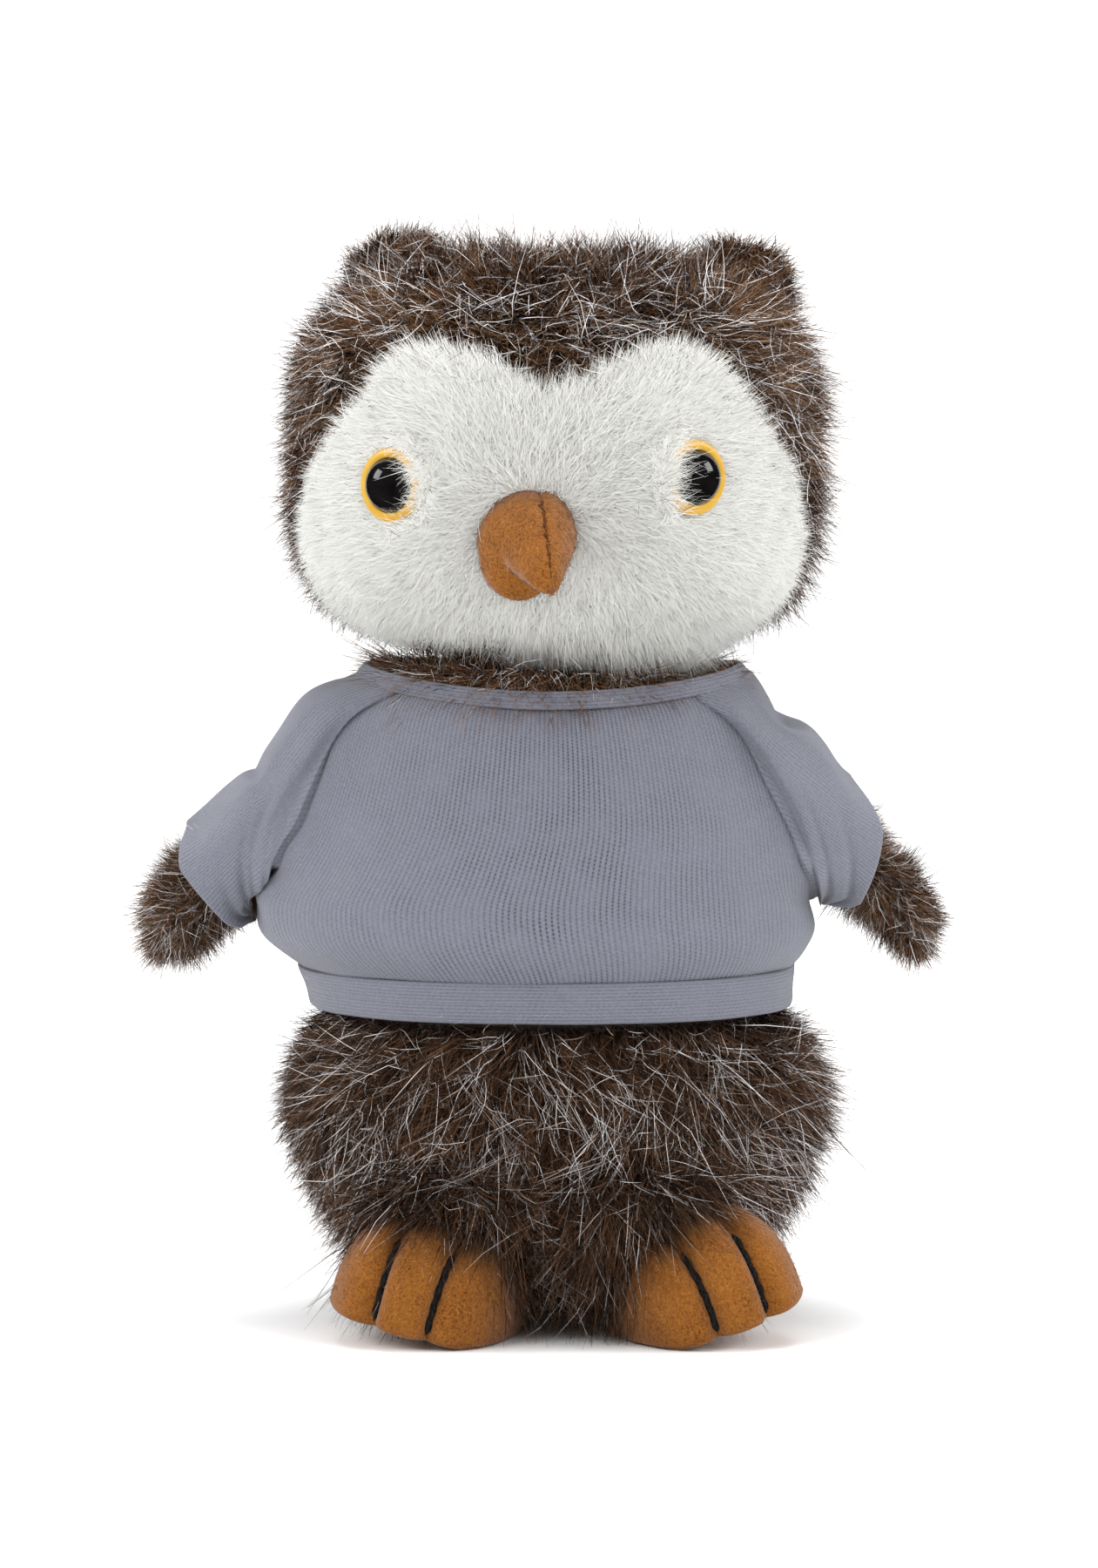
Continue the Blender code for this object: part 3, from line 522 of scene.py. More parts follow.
def knit(name, rib, course, depth, shade):
    """Jersey finish on the cloth's own map. The grooves between ribs, dotted a stitch apart along them, are
    painted darker as painted shade in the grooves. This painted shade is strongest in the middle of the
    front, where the cloth is stretched, and it fades in patches."""
    made = Finish(
        name, "grey_jersey", roughness=0.88, sheen_weight=0.2, sheen_roughness=0.5, specular_ior_level=0.15)
    across, along = made.map("Cloth")
    groove = ((across * (2 * pi / rib)).math("COSINE") * 0.5 + 0.5) ** 3
    golden_turn = 2.39996
    shift = (across / rib).math("ROUND") * golden_turn
    stitch = (along * (2 * pi / course) + shift).math("COSINE") * 0.5 + 0.5
    fuzz = made.noise(2600.0)
    patches = made.ramp(made.noise(170.0, 3.0), (0.32, 0.30), (0.66, 1.0))
    side = made.node("ShaderNodeSeparateXYZ", {}, {"Vector": made.place()})
    stretched = (side * side * -1800.0).math("EXPONENT") * 0.6 + 0.4
    # Painted shade: the grooves, dotted by the stitches, are darkened in the base colour where shade falls
    # between the ribs.
    groove_shade = groove * (stitch * 0.8 + 0.2) * patches * stretched * shade
    yarn_grey = made.ramp(fuzz, (0.3, (0.136, 0.141, 0.174)), (0.72, (0.172, 0.178, 0.215)))
    made.on("Base Color", made.mix(groove_shade, yarn_grey, (0.018, 0.018, 0.026)))
    made.bump(stitch * 0.15 - groove + fuzz * 0.5, depth, 0.6)
    return made


# The last number sets how strong the painted shade in the grooves is.
jersey = knit("jersey", 0.00083, 0.00066, 0.00014, 0.95)
jersey_band = knit("jersey_band", 0.00055, 0.00095, 0.0002, 0.55)


def around(grid):
    """Distances in metres round each row of a grid and up each column, for a map that isn't stretched."""
    across = np.linalg.norm(np.diff(grid, axis=1), axis=-1).mean(axis=0)
    up = np.linalg.norm(np.diff(grid, axis=0), axis=-1).mean(axis=1)
    return np.stack(np.meshgrid(np.append(0, np.cumsum(across)), np.append(0, np.cumsum(up))), axis=-1)


def thick(made, depth):
    """Gives a sheet its thickness, inwards."""
    wall = made.modifiers.new("Cloth thickness", "SOLIDIFY")
    wall.thickness = depth
    wall.offset = -1
    return made


def slack(heights, turns):
    """How far the shirt stands off the body: a little everywhere, more where it blouses over the hem band,
    less where it is sewn to the bands, with small folds at the sides."""
    way = (heights - cloth_low) / (cloth_high - cloth_low)
    stand_off = 0.0012 + 0.0005 * np.sin(np.clip(way, 0, 1) * pi) ** 0.5
    blouse = 0.0012 * bell(way, 0.11, 0.10)
    tuck = -0.0006 * bell(way, 0, 0.03) - 0.0004 * bell(way, 1, 0.03)
    side_pull = bell(np.abs(np.cos(turns)), 0.97, 0.10) * bell(way, 0.35, 0.2)
    folds = 0.00045 * np.sin(way * 34 + 3 * np.cos(turns * 3)) * side_pull
    return stand_off + blouse + tuck + folds + 0.0003 * ripple(body_at(heights, turns, 0), 0.02, 31)


def neck_rise(points):
    """Raises the top of the shirt at the sides, where it climbs to the shoulders: the share grows with the
    height above the chest and with the square of the distance from the middle."""
    aside = np.clip(np.abs(points[..., 0]) / 0.029, 0, 1.1)
    lifted = points.copy()
    lifted[..., 2] += 0.0030 * eased(points[..., 2], 0.084, 0.013) * aside**2
    return lifted


def bridged(points, proud=0.0, front=None):
    """Brings the shirt's front forward beside the chest, where the cloth spans from the chest to the
    sleeves. At each height a straight line runs from the chest to the front of the sleeve, and what lies
    behind it is moved onto it, with a soft corner, less so under the arm, near the top and on the cloth's
    outer and rear parts."""
    out, height, near = np.abs(points[..., 0]), points[..., 2], -points[..., 1]
    half, depth = body_sizes(height)[:2] + 0.0012
    chest_out, chest = 0.66 * half, depth * partner(0.66, body_square)
    sleeve_out, sleeve = 0.048, 0.0175 - 0.0080 * rise(height, 0.084, 0.012)
    line = chest + (sleeve - chest) * rise(out, chest_out, sleeve_out - chest_out) + proud
    corner = 0.0012
    onto = np.maximum(near, line) + corner * np.log1p(np.exp(-np.abs(near - line) / corner))
    share = eased(height, 0.0635, 0.0095) * rise(height, 0.1000, -0.004)
    share = share * rise(out, 0.0560, -0.008) * rise(out, 0.50 * half, 0.004)
    share = share * (rise(near, -0.001, 0.010) if front is None else front)
    moved = points.copy()
    moved[..., 1] -= share * (onto - near)
    return moved


cloth_levels = np.linspace(cloth_low, cloth_high, 60)[:, None]
for name, node, first in (("shirt_back_cloth", "shirt_back", 0.0), ("shirt_front_cloth", "shirt_front", pi)):
    turns = np.linspace(first, first + pi, 120)
    grid = bridged(neck_rise(body_at(cloth_levels, turns, slack(cloth_levels, turns))))
    made = thick(surface(name, grid, jersey, around(grid)), 0.0007)
    stand(made, "torso", node)


def band(name, node, low, tall, depth, proud, seed):
    """A band of doubled cloth round the body: a rounded slot-shaped section carried round at its height."""
    out, up = rounded(np.linspace(0, 2 * pi, 25)[:, None], 3.0)
    middle = low + tall / 2
    turns = np.linspace(0, 2 * pi, 181)
    wave = 0.00025 * ripple(body_at(middle, turns, 0), 0.014, seed)
    grid = neck_rise(body_at(middle + up * tall / 2, turns, proud + out * depth / 2 + wave))[:, ::-1]
    return stand(surface(name, grid, jersey_band, around(grid)[..., ::-1]), "torso", node)


hem_cloth = band("hem_band_cloth", "hem_band", hem_height, hem_tall, 0.0018, 0.0012, 41)
neck_cloth = band("neckband_cloth", "neckband", neckline_height, neckband_tall, 0.0013, 0.0011, 42)

# Feet. Padded feet of short-napped tan fleece, each with three toes drawn in by two lengths of thick black
# twisted thread, sewn on under the front of the body. A flat sole of the same fleece closes each one.

foot_wide, foot_long, foot_tall, foot_square = 0.0292, 0.040, 0.018, 2.5
foot_front, foot_cut, sole_thick = 0.0495, 0.0005, 0.001
foot_out = {"left": 0.0236, "right": 0.0197}
foot_turn = {"left": radians(20), "right": radians(-13)}
foot_roll = {"left": radians(-18), "right": radians(14)}
signs = {"left": 1, "right": -1}
toe_lines = (-foot_wide / 6, foot_wide / 6)

fibre = speckled(
    "fibre_filling", "white_fill", 500.0, (0.3, (0.78, 0.78, 0.77)), (0.7, (0.90, 0.90, 0.89)),
    detail=4.0, bumps=(700.0, 0.001), roughness=1.0)

fleece = Finish(
    "fleece", "tan_fleece", roughness=0.95, sheen_weight=0.25, sheen_roughness=0.4, specular_ior_level=0.08)
fleece_speck = fleece.noise(2600.0, 3.0)
fleece.on("Base Color", fleece.ramp(
    fleece_speck * 0.8 + fleece.noise(160.0) * 0.2, (0.30, (0.086, 0.024, 0.004)),
    (0.42, (0.192, 0.066, 0.011)), (0.60, (0.254, 0.096, 0.018)), (0.78, (0.33, 0.143, 0.035))))
fleece.bump(fleece_speck, 0.0003, 0.8)

nap = haired("fleece_nap", "tan_fleece", (
    (0.0, (0.12, 0.038, 0.007)), (0.5, (0.25, 0.092, 0.020)), (1.0, (0.46, 0.215, 0.068))),
    roughness=0.9, specular_ior_level=0.08, sheen_weight=0.2)

thread = speckled(
    "twisted_thread", "black_thread", 2500.0, (0.35, (0.004, 0.004, 0.004)), (0.75, (0.022, 0.019, 0.019)),
    bumps=(5000.0, 0.00008), roughness=0.8, specular_ior_level=0.15)


def turned_by(points, turn, roll):
    """Points rolled about the foot's length, then turned about the upright."""
    x, y, z = np.moveaxis(points, -1, 0)
    x, z = x * cos(roll) + z * sin(roll), z * cos(roll) - x * sin(roll)
    return spread(x * cos(turn) - y * sin(turn), x * sin(turn) + y * cos(turn), z)


def foot_placed(points, side):
    """Points of a foot at its place on the floor, with the inner edge of its sole let in a little."""
    turn, roll, sign = foot_turn[side], foot_roll[side], signs[side]
    edge = turned_by(np.array([-sign * foot_wide / 2 * 0.8, 0, 0]), turn, roll)
    home = np.array([sign * foot_out[side], -foot_front + foot_long / 2, -foot_cut - edge[2]])
    return turned_by(points, turn, roll) + home


def foot_at(tilts, turns, grow, narrow=0.0030):
    """A foot's domed outside: tilts run from top to rim, turns go round, and grooves part the toes."""
    up, out = rounded(tilts, foot_square)
    across, along = rounded(turns, foot_square)
    x = out * across * (foot_wide / 2 + grow)
    y = out * along * (foot_long / 2 + grow)
    front = rise(-y, 0, foot_long / 2)
    dip = 0.0030 * front**0.5 * sum(np.exp(-np.abs((x - line) / (narrow / 2)) ** 1.3) for line in toe_lines)
    draw = 1 - dip / np.sqrt(x**2 + y**2 + (up * foot_tall) ** 2)
    return spread(x * draw, y * draw, sole_thick + up * (foot_tall - sole_thick + grow) * draw)


def tube(path, outward, radius, turns):
    """A tube along a path: the path plus radius × (outward × cos + beside × sin) of the turns round it."""
    along = unit(np.gradient(path, axis=0))
    outward = flat_to(outward, along)
    beside = np.cross(along, outward)
    across, up = np.cos(turns)[:, None], np.sin(turns)[:, None]
    return path[:, None] + radius[..., None] * (outward[:, None] * across + beside[:, None] * up)


foot_tilts = np.linspace(0.001, pi / 2, 40)[:, None]
foot_turns = np.linspace(2 * pi, 0, 181)
dome = foot_at(foot_tilts, foot_turns, -0.0003)
lower = dome[-1] * np.array([0.97, 0.97, 0]) + np.array([0, 0, 0.0004])
shell = capped(np.concatenate([dome, lower[None]]), both=False)
inner = foot_at(foot_tilts, foot_turns, -0.0018, 0.0050)
floor = inner[-1] * np.array([1.0, 1.0, 0]) + np.array([0, 0, 0.0016])
filling = capped(np.concatenate([inner, floor[None]]), both=False)
rim = dome[-1] * np.array([1.0, 1.0, 0])
rim_middle = rim.mean(axis=0)
sole = np.stack([
    rim_middle + (rim - rim_middle) * share + np.array([0, 0, up]) for share, up in
    ((0, 0.0002), (0.5, 0.0002), (0.96, 0.0002), (0.985, 0.0006), (0.97, 0.0010), (0, 0.0010))])
sole_least = 0.0001 + 0.0002 * np.array([0, 0, 0, 1, 2, 2])[:, None]

toe_tilts = np.linspace(radians(40), radians(90), 60)
thread_turns = np.linspace(0, 2 * pi, 17)
thread_twist = np.linspace(0, 16, 60)[:, None]
thread_ends = np.clip(np.minimum(np.linspace(0, 12, 60), np.linspace(12, 0, 60)), 0.05, 1)[:, None]
thread_radius = 0.00062 * (0.84 + 0.16 * np.cos(2 * (thread_turns - thread_twist))) * thread_ends

for side, sign in signs.items():
    for name, node, form, least, finish, fill in (
        ("foot_fleece_", "foot_", shell[:, ::-1], 0.0004, fleece, 0.8),
        ("foot_fibre_", "foot_stuffing_", filling[:, ::-1], 0.0012, fibre, None),
        ("sole_fleece_", "sole_", sole, sole_least, fleece, None),
    ):
        grid = foot_placed(form, side)
        grid[..., 2] = np.maximum(grid[..., 2], least)
        stand(surface(name + side, grid, finish), "torso", node + side, fill=fill)
    grid = foot_placed(dome[:, ::-1], side)
    place, normal, row = scattered(grid, 15000, 51 + sign)
    normal = unit(place - np.array([*grid[0, 0, :2], 0.002])) * 0.3 + normal
    keep = place[:, 2] > 0.0008
    place, normal = place[keep], unit(normal[keep])
    comb = flat_to(ripples(place, 0.006, 57) + np.array([0, -0.4, -0.5]), normal)
    stand(hairs("foot_nap_" + side, place, normal, comb, nap, 53 + sign, length=0.0010, width=0.00010,
                lift=0.5, curl=0.6, lock=0.2, soft=0.9), "torso")
    for line in toe_lines:
        share = line / (rounded(toe_tilts, foot_square)[1] * foot_wide / 2)
        turns = np.arctan2(-partner(np.abs(share), foot_square), share)
        path = foot_placed(foot_at(toe_tilts, turns, 0.0002), side)
        outward = path - np.array([path[0, 0], path[0, 1] + 0.02, 0.0])
        label = side + ("_outer" if line * sign > 0 else "_inner")
        ply = tube(path, outward, thread_radius, thread_turns)
        stand(surface("thread_" + label, ply, thread), "torso", "toe_stitch_" + label)

# Head. A large stuffed head of the brown fur cloth. A short, dense, off-white pile panel makes the face,
# rising in a lobe over each eye with a point of brown between them, and it is fluffier round the beak. It
# sits on the neck seam.

head_wide, head_tall, head_front, head_back = 0.087, 0.068, 0.040, 0.035
head_square, head_round = 3.2, 2.15
head_floor = neck_height + 0.0003
head_mid = head_floor + head_tall / 2 - 0.0017
face_shares = (
    (-90, 0.955), (-75, 0.945), (-60, 0.93), (-45, 0.95), (-32, 0.945), (-14, 0.91), (-3, 0.862), (7, 0.788),
    (18, 0.70), (33, 0.65), (45, 0.62), (55, 0.545), (64, 0.43), (76, 0.33), (90, 0.27),
)
eye_out = {"left": 0.0218, "right": 0.0246}
eye_up = {"left": 0.0303, "right": 0.0291}
eye_turned = radians(36)
beak_spot = np.array([-0.0026, -head_front, neck_height + 0.0208])


def head_at(turns, tilts, grow):
    """The head's outside: turns go round the face's middle, and tilts run from the face to the back."""
    across, up = rounded(turns, head_square)
    forward, out = rounded(tilts, head_round)
    y = -forward * (np.where(forward > 0, head_front, head_back) + grow)
    z = head_mid + out * up * (head_tall / 2 + grow)
    return spread(out * across * (head_wide / 2 + grow), y, np.maximum(z, head_floor - grow))


def face_edge(turns):
    """Tilt of the white face's edge at each turn, alike on both sides."""
    folded = np.degrees(np.arctan2(np.sin(turns), np.abs(np.cos(turns))))
    out = smooth(face_shares, folded)[..., 0]
    return np.arctan2(out, partner(out, head_round))


def eye_seat(side):
    """Middle of an eye on the face, and the way that it looks."""
    forward = head_front * partner(eye_out[side] / (head_wide / 2), head_round)
    look = np.array([signs[side] * sin(eye_turned), -cos(eye_turned), 0])
    return np.array([signs[side] * eye_out[side], -forward, neck_height + eye_up[side]]), look


pile_ground = speckled(
    "pile_ground", "white_pile", 900.0, (0.3, (0.66, 0.65, 0.61)), (0.75, (0.76, 0.75, 0.72)),
    bumps=(1500.0, 0.0004), roughness=0.95)

# The white pile is darkened a little towards each hair's root. This is painted shade for the shade deep in
# the pile.
white_pile = haired(
    "white_pile", "white_pile",
    ((0.0, (0.66, 0.655, 0.615)), (0.5, (0.70, 0.70, 0.665)), (1.0, (0.76, 0.765, 0.745))),
    ((0.0, (0.95, 0.945, 0.93)), (0.55, 1.0)), roughness=0.7, specular_ior_level=0.2, sheen_weight=0.15)

head_turns = np.linspace(2 * pi, 0, 145)
edge = face_edge(head_turns)
head_grid = head_at(head_turns, edge + (pi - edge) * np.linspace(0, 1, 70)[:, None], -0.0042)
skin_rows = np.concatenate([head_at(head_turns, edge * 0.93, -0.0044)[None], head_grid])
stand(surface("head_skin", skin_rows, fur_ground_shade), "head", "head_fur", fill=0.85)

face_flat = head_at(head_turns, np.linspace(0, 1, 60)[:, None] * edge, -0.0026)
beside_eyes = 0
for side, sign in signs.items():
    inner_side = eye_seat(side)[0] - np.array([sign * 0.0082, 0.0010, 0])
    beside_eyes = beside_eyes + 0.00128 * bell(np.linalg.norm(face_flat - inner_side, axis=-1), 0, 0.0068)
face_grid = face_flat + unit(face_flat - np.array([0, 0.012, head_mid])) * beside_eyes[..., None]
stand(surface("face_skin", face_grid, pile_ground), "head", "face_panel", fill=0.85)


def head_comb(place, normal):
    """The way the head's fur lies: down to the point of the face, and outwards at the sides."""
    x, y, z = place.T
    side = rise(np.abs(x) / 0.040, 0.35, 0.4)
    way = np.sign(x) * (0.9 * side + 0.15 * (1 - side)) - x / 0.03 * (1 - side) * 0.35
    comb = spread(way, np.where(y < 0.004, -0.6, 0.7), 0.5 * side * rise(z, head_mid, 0.02) - 1)
    return flat_to(comb + 0.75 * ripples(place, 0.014, 61), normal)


def head_trim(place, normal, row):
    """The fur is shorter underneath, at the face's edge and on the owl's right, and uneven on top."""
    under = np.clip((place[:, 2] - neck_height) / 0.012, 0.35, 1)
    on_top = 1 + np.clip(normal[:, 2], 0, 1) * (0.14 * ripple(place, 0.012, 65) - 0.04)
    return under * np.clip(row / 6, 0.6, 1) * on_top * (1 - 0.26 * rise(-place[:, 0], 0.020, 0.018))


# The head's pile and guard hairs take tints from the light part of the fur's range. This is partly painted
# light, for the head lit from above, and partly the fur's own silver, which is denser on top.
for name, count, seed, looks, form in (
    ("head_pile_low", 80000, 62, fur_pile, dict(
        length=0.0054, width=0.00021, lift=0.50, curl=0.42, tint=(0.3, 1.0), lock=0.7)),
    ("head_pile_fine", 46000, 63, fur_pile, dict(
        length=0.0064, width=0.00018, lift=0.40, curl=0.55, tint=(0.4, 1.0), lock=1.0, lock_size=0.003,
        soft=0.65)),
    ("head_guard_hair", 24500, 64, guard_hair, dict(
        length=0.0078, width=0.00013, lift=0.30, curl=0.85, levels=5, tint=(0.6, 1.0), lock=1.2,
        lock_size=0.004, wave=0.14, soft=0.8)),
):
    coat(name, "head", head_grid, count, (seed, seed), head_comb, looks, trim=head_trim, sag=0.02, **form)


def face_comb(place, normal):
    """The way the white pile lies: away from the beak, with fine eddies."""
    away = unit(place - beak_spot)
    away[:, 2] -= 0.25
    return flat_to(away + 0.3 * ripples(place, 0.012, 71), normal)


def brown_chin(place, normal, row):
    """True where the pile under the owl's right cheek is brown, below the white."""
    return place[:, 2] < neck_height + 0.0008 + 0.0047 * rise(-place[:, 0], 0.001, 0.006)


def clear_of_face_parts(place, reach):
    """True where the pile's root is off the beak and the eyes."""
    clear = ((place[:, 0] + 0.0036) / 0.0070) ** 2 + ((place[:, 2] - beak_spot[2]) / 0.0078) ** 2 > 1
    for side in signs:
        seat, look = eye_seat(side)
        away = place - seat
        away = away - look * (away @ look)[:, None]
        clear &= np.linalg.norm(away, axis=1) > reach
    return clear


def near_beak(points, size):
    return bell(np.linalg.norm(points - beak_spot, axis=-1), 0, size)


def over_chin(place):
    return bell(place[:, 0], 0.010, 0.016) * bell(place[:, 2], neck_height, 0.008)


def pile_length(place, normal, row):
    """The white pile is longer round the beak and along the upper edge, and hangs longest at the chin."""
    near_edge = rise(row, 52, 7) * (place[:, 2] > head_mid + 0.004)
    return 0.0033 + 0.0012 * near_beak(place, 0.016) + 0.0010 * near_edge + 0.0075 * over_chin(place)


for part in (0, 1):
    coat("face_pile_" + "ab"[part], "head", face_grid, 92000, (72 + part, 74 + part), face_comb, white_pile,
         keep=lambda place, normal, row: clear_of_face_parts(place, 0.0058) & ~brown_chin(place, normal, row),
         length=pile_length, sag=lambda place, normal, row: 1.5 * over_chin(place), width=0.00013,
         lift=0.42 - 0.12 * part, curl=0.38, lock=0.3, lock_size=0.003, soft=1.0, spin=0.15)

place, normal, row = scattered(face_grid[:45], 7000, 76, near_beak(face_grid[:44, :-1], 0.020))
keep = clear_of_face_parts(place, 0.0064)
place, normal = place[keep] + 0.0012 * normal[keep], normal[keep]
stand(hairs("face_wisps", place, normal, face_comb(place, normal), white_pile, 80, length=0.0050,
            width=0.00008, lift=0.22, curl=0.60, levels=5, wave=0.12, soft=1.0, spin=0.05), "head")

place, normal, row = scattered(face_grid[30:], 36000, 77)
keep = brown_chin(place, normal, row)
place, normal = place[keep], normal[keep]
comb = flat_to(np.array([-0.1, -0.3, -1.0]) + 0.6 * ripples(place, 0.010, 78), normal)
for name, looks, every, form in (
    ("chin_fur_pile", fur_pile, 1, dict(length=0.0058, width=0.00022)),
    ("chin_guard_hair", guard_hair, 5, dict(length=0.0066, width=0.00013, levels=5, wave=0.06)),
):
    made = hairs(name, place[::every], normal[::every], comb[::every], looks, 79, lift=0.6, curl=0.45, **form)
    stand(made, "head")

# Ears. A small padded arch of the brown fur on each top corner of the head, seen only as a tuft in the fur.

ear_out = {"left": 0.0295, "right": 0.0240}
ear_up = {"left": 0.0675, "right": 0.0688}
ear_wide, ear_deep, ear_square = 0.0070, 0.0030, 2.4


def ear_comb(place, normal):
    return flat_to(np.array([0.5, -0.4, 0.1]) + 0.7 * ripples(place, 0.006, 83), normal)


across, up = rounded(np.linspace(2 * pi, 0, 61), ear_square)
forward, out = rounded(np.linspace(0, pi, 31)[:, None], ear_square)
for side, sign in signs.items():
    lean = radians(10) * sign
    x, z = out * across * ear_wide, out * up * ear_wide
    home = np.array([sign * ear_out[side], 0, neck_height + ear_up[side] - 0.0092])
    grid = spread(x * cos(lean) + z * sin(lean), -forward * ear_deep, z * cos(lean) - x * sin(lean)) + home
    stand(surface("ear_skin_" + side, grid, fur_ground_shade), "head", "ear_" + side, fill=0.6)
    for name, count, looks, form in (
        ("ear_pile_", 8000, fur_pile, dict(
            length=0.0034, width=0.00019, lift=0.5, curl=0.6, tint=(0.2, 1.0))),
        ("ear_guard_hair_", 1300, guard_hair, dict(
            length=0.0044, width=0.00014, lift=0.45, curl=0.8, levels=6, wave=0.12, soft=0.4)),
    ):
        coat(name + side, "head", grid, count, (81 + sign, 84 + sign), ear_comb, looks, **form)

# Eyes. Moulded safety eyes: a yellow glossy ring with a polished black dome in its recess, each turned to
# its side of the face and held behind by a washer. The white pile grows a little over the rim, most on the
# inner side.

yellow = speckled(
    "yellow_plastic", "yellow_plastic", 300.0, (0.3, (0.52, 0.29, 0.022)), (0.7, (0.60, 0.35, 0.035)),
    detail=3.0, roughness=0.38, coat_weight=0.15, coat_roughness=0.2)
yellow.bump(yellow.noise(1800.0), 0.00003, 0.5)
black = speckled(
    "black_plastic", "black_plastic", 400.0, (0.3, (0.003, 0.003, 0.003)), (0.7, (0.007, 0.006, 0.006)),
    roughness=0.08, specular_ior_level=0.5)

upright = np.array([0, 0, 1.0])
ring_wide, dome_wide, dome_tall = 0.0058, 0.00412, 0.0030
ring_profile = (
    [(0.0, -0.0014), (0.0052, -0.0014), (ring_wide, -0.0009)]
    + [(ring_wide - 0.0009 * (1 - cos(a)), -0.0002 + 0.0009 * sin(a)) for a in np.linspace(0, pi / 2, 8)]
    + [(0.0044, 0.00070), (0.00425, 0.0006), (0.0042, 0.0001), (0.0, 0.0001)])
dome_profile = [(0.0, 0.0003)] + [
    (dome_wide * cos(a), 0.0004 + dome_tall * sin(a)) for a in np.linspace(0, pi / 2, 20)]


def spun(name, profile, seat, look, finish):
    """A profile of radius and rise, turned about the way an eye looks."""
    radii, rises = np.array(profile).T[..., None, None]
    turns = np.linspace(0, 2 * pi, 65)[:, None]
    side = unit(np.cross(look, upright))
    rim = side * np.cos(turns) + np.cross(side, look) * np.sin(turns)
    return surface(name, seat + radii * rim + rises * look, finish)


eye_cover = {"left": 0.5, "right": 0.75}
inner_way = {"left": pi, "right": 0.0}
for side, sign in signs.items():
    seat, look = eye_seat(side)
    stand(spun("eye_rim_" + side, ring_profile, seat, look, yellow), "head", "eye_ring_" + side)
    stand(spun("eye_bead_" + side, dome_profile, seat, look, black), "head", "eye_dome_" + side)
    dice = np.random.default_rng(85 + sign)
    turn = inner_way[side] + dice.normal(-0.25 * sign, eye_cover[side], 2200)
    rim = unit(np.cross(upright, look)) * np.cos(turn)[:, None] + upright * np.sin(turn)[:, None]
    roots = seat + rim * dice.uniform(0.0060, 0.0078, 2200)[:, None] - look * 0.0006
    over = flat_to(-rim * 0.9 + 0.5 * ripples(roots, 0.003, 86) + 0.1 * upright, look)
    from_inner = np.abs((turn - inner_way[side] + pi) % (2 * pi) - pi)
    reach = np.interp(from_inner, [0, 0.7, 1.8], [0.0040, 0.0034, 0.0022])
    made = hairs("eye_pile_" + side, roots, np.broadcast_to(look, rim.shape), over, white_pile, 87 + sign,
                 length=reach, width=0.00010, lift=0.50, curl=0.85, levels=4, lock=0.6, soft=1.0, spin=0.2)
    made.visible_shadow = False
    stand(made, "head")

# Beak. Two panels of the tan fleece over stuffing, set into the face a little to the owl's right, with its
# tip turned down. The seam down the middle is pulled in, and its dark thread shows on top.

beak_shares = ((0.0, 1.0), (0.25, 0.98), (0.5, 0.82), (0.75, 0.55), (0.92, 0.27), (1.0, 0.0))
beak_half = 0.0073
lobe_turn = radians(241)


def beak_at(way, turns, sunk=0.0):
    """Sections of the beak from its root to its tip. They shrink as they go forward, drop, and swing to the
    middle. Behind the tip a lobe hangs down on the owl's right, with a crease before it, and the tip is cut
    flat below."""
    from_lobe = np.degrees((turns - lobe_turn + pi) % (2 * pi) - pi)
    lobe = bell(from_lobe, 0, 34) - 0.4 * bell(from_lobe, 36, 22)
    hung = rise(way, 0, 0.16) * rise(way, 0.44, -0.10)
    crease = bell(way, 0.47, 0.06) * bell(from_lobe, 4, 42)
    left, right, under = (np.clip(part, 0, 1) for part in (np.cos(turns), -np.cos(turns), -np.sin(turns)))
    below = (1 - 0.55 * rise(way, 0.42, 0.30) * under) * (1 - 0.30 * np.sqrt(left * under))
    seam = 1 - 0.09 * np.exp(-np.abs(np.cos(turns)) / 0.10)
    size = smooth(beak_shares, way[:, 0])[:, :1] * (1 + 0.30 * lobe * hung - 0.34 * crease) * below * seam
    wide = np.where(right > 0, 1.28 - 0.25 * rise(way, 0.25, 0.3), 0.80 - 0.25 * way)
    x = -0.0022 * (1 - way) + (size * beak_half * wide - sunk) * np.cos(turns)
    z = neck_height + 0.0215 - 0.0083 * way**1.5 + (size * 0.0074 - sunk) * np.sin(turns)
    return spread(x, -head_front + 0.0045 - 0.0185 * way, z)


seam_brown = speckled(
    "seam_thread", "black_thread", 3000.0, (0.3, (0.030, 0.011, 0.004)), (0.70, (0.15, 0.052, 0.014)),
    bumps=(6000.0, 0.00005), roughness=0.85, specular_ior_level=0.1)
beak_way = np.linspace(0, 1, 61)[:, None] ** 0.8
for side, sign in signs.items():
    turns = np.linspace(pi / 2, -pi / 2, 49) if sign > 0 else np.linspace(pi * 1.5, pi / 2, 49)
    grid = beak_at(beak_way, turns)
    panel = thick(surface("beak_fleece_" + side, grid, fleece), 0.0006)
    stand(panel, "head", "beak_" + side, fill=0.8)
    coat(
        "beak_nap_" + side, "head", grid, 11000, (91 + sign, 94 + sign),
        lambda place, normal: flat_to(ripples(place, 0.005, 93) + np.array([0, -0.6, -0.4]), normal),
        nap, length=0.0010, width=0.00009, lift=0.6, curl=0.6, soft=0.9)
fill = capped(beak_at(np.linspace(0.03, 0.93, 40)[:, None], np.linspace(2 * pi, 0, 49), 0.0011))
stand(surface("beak_fibre", fill, fibre), "head", "beak_stuffing")

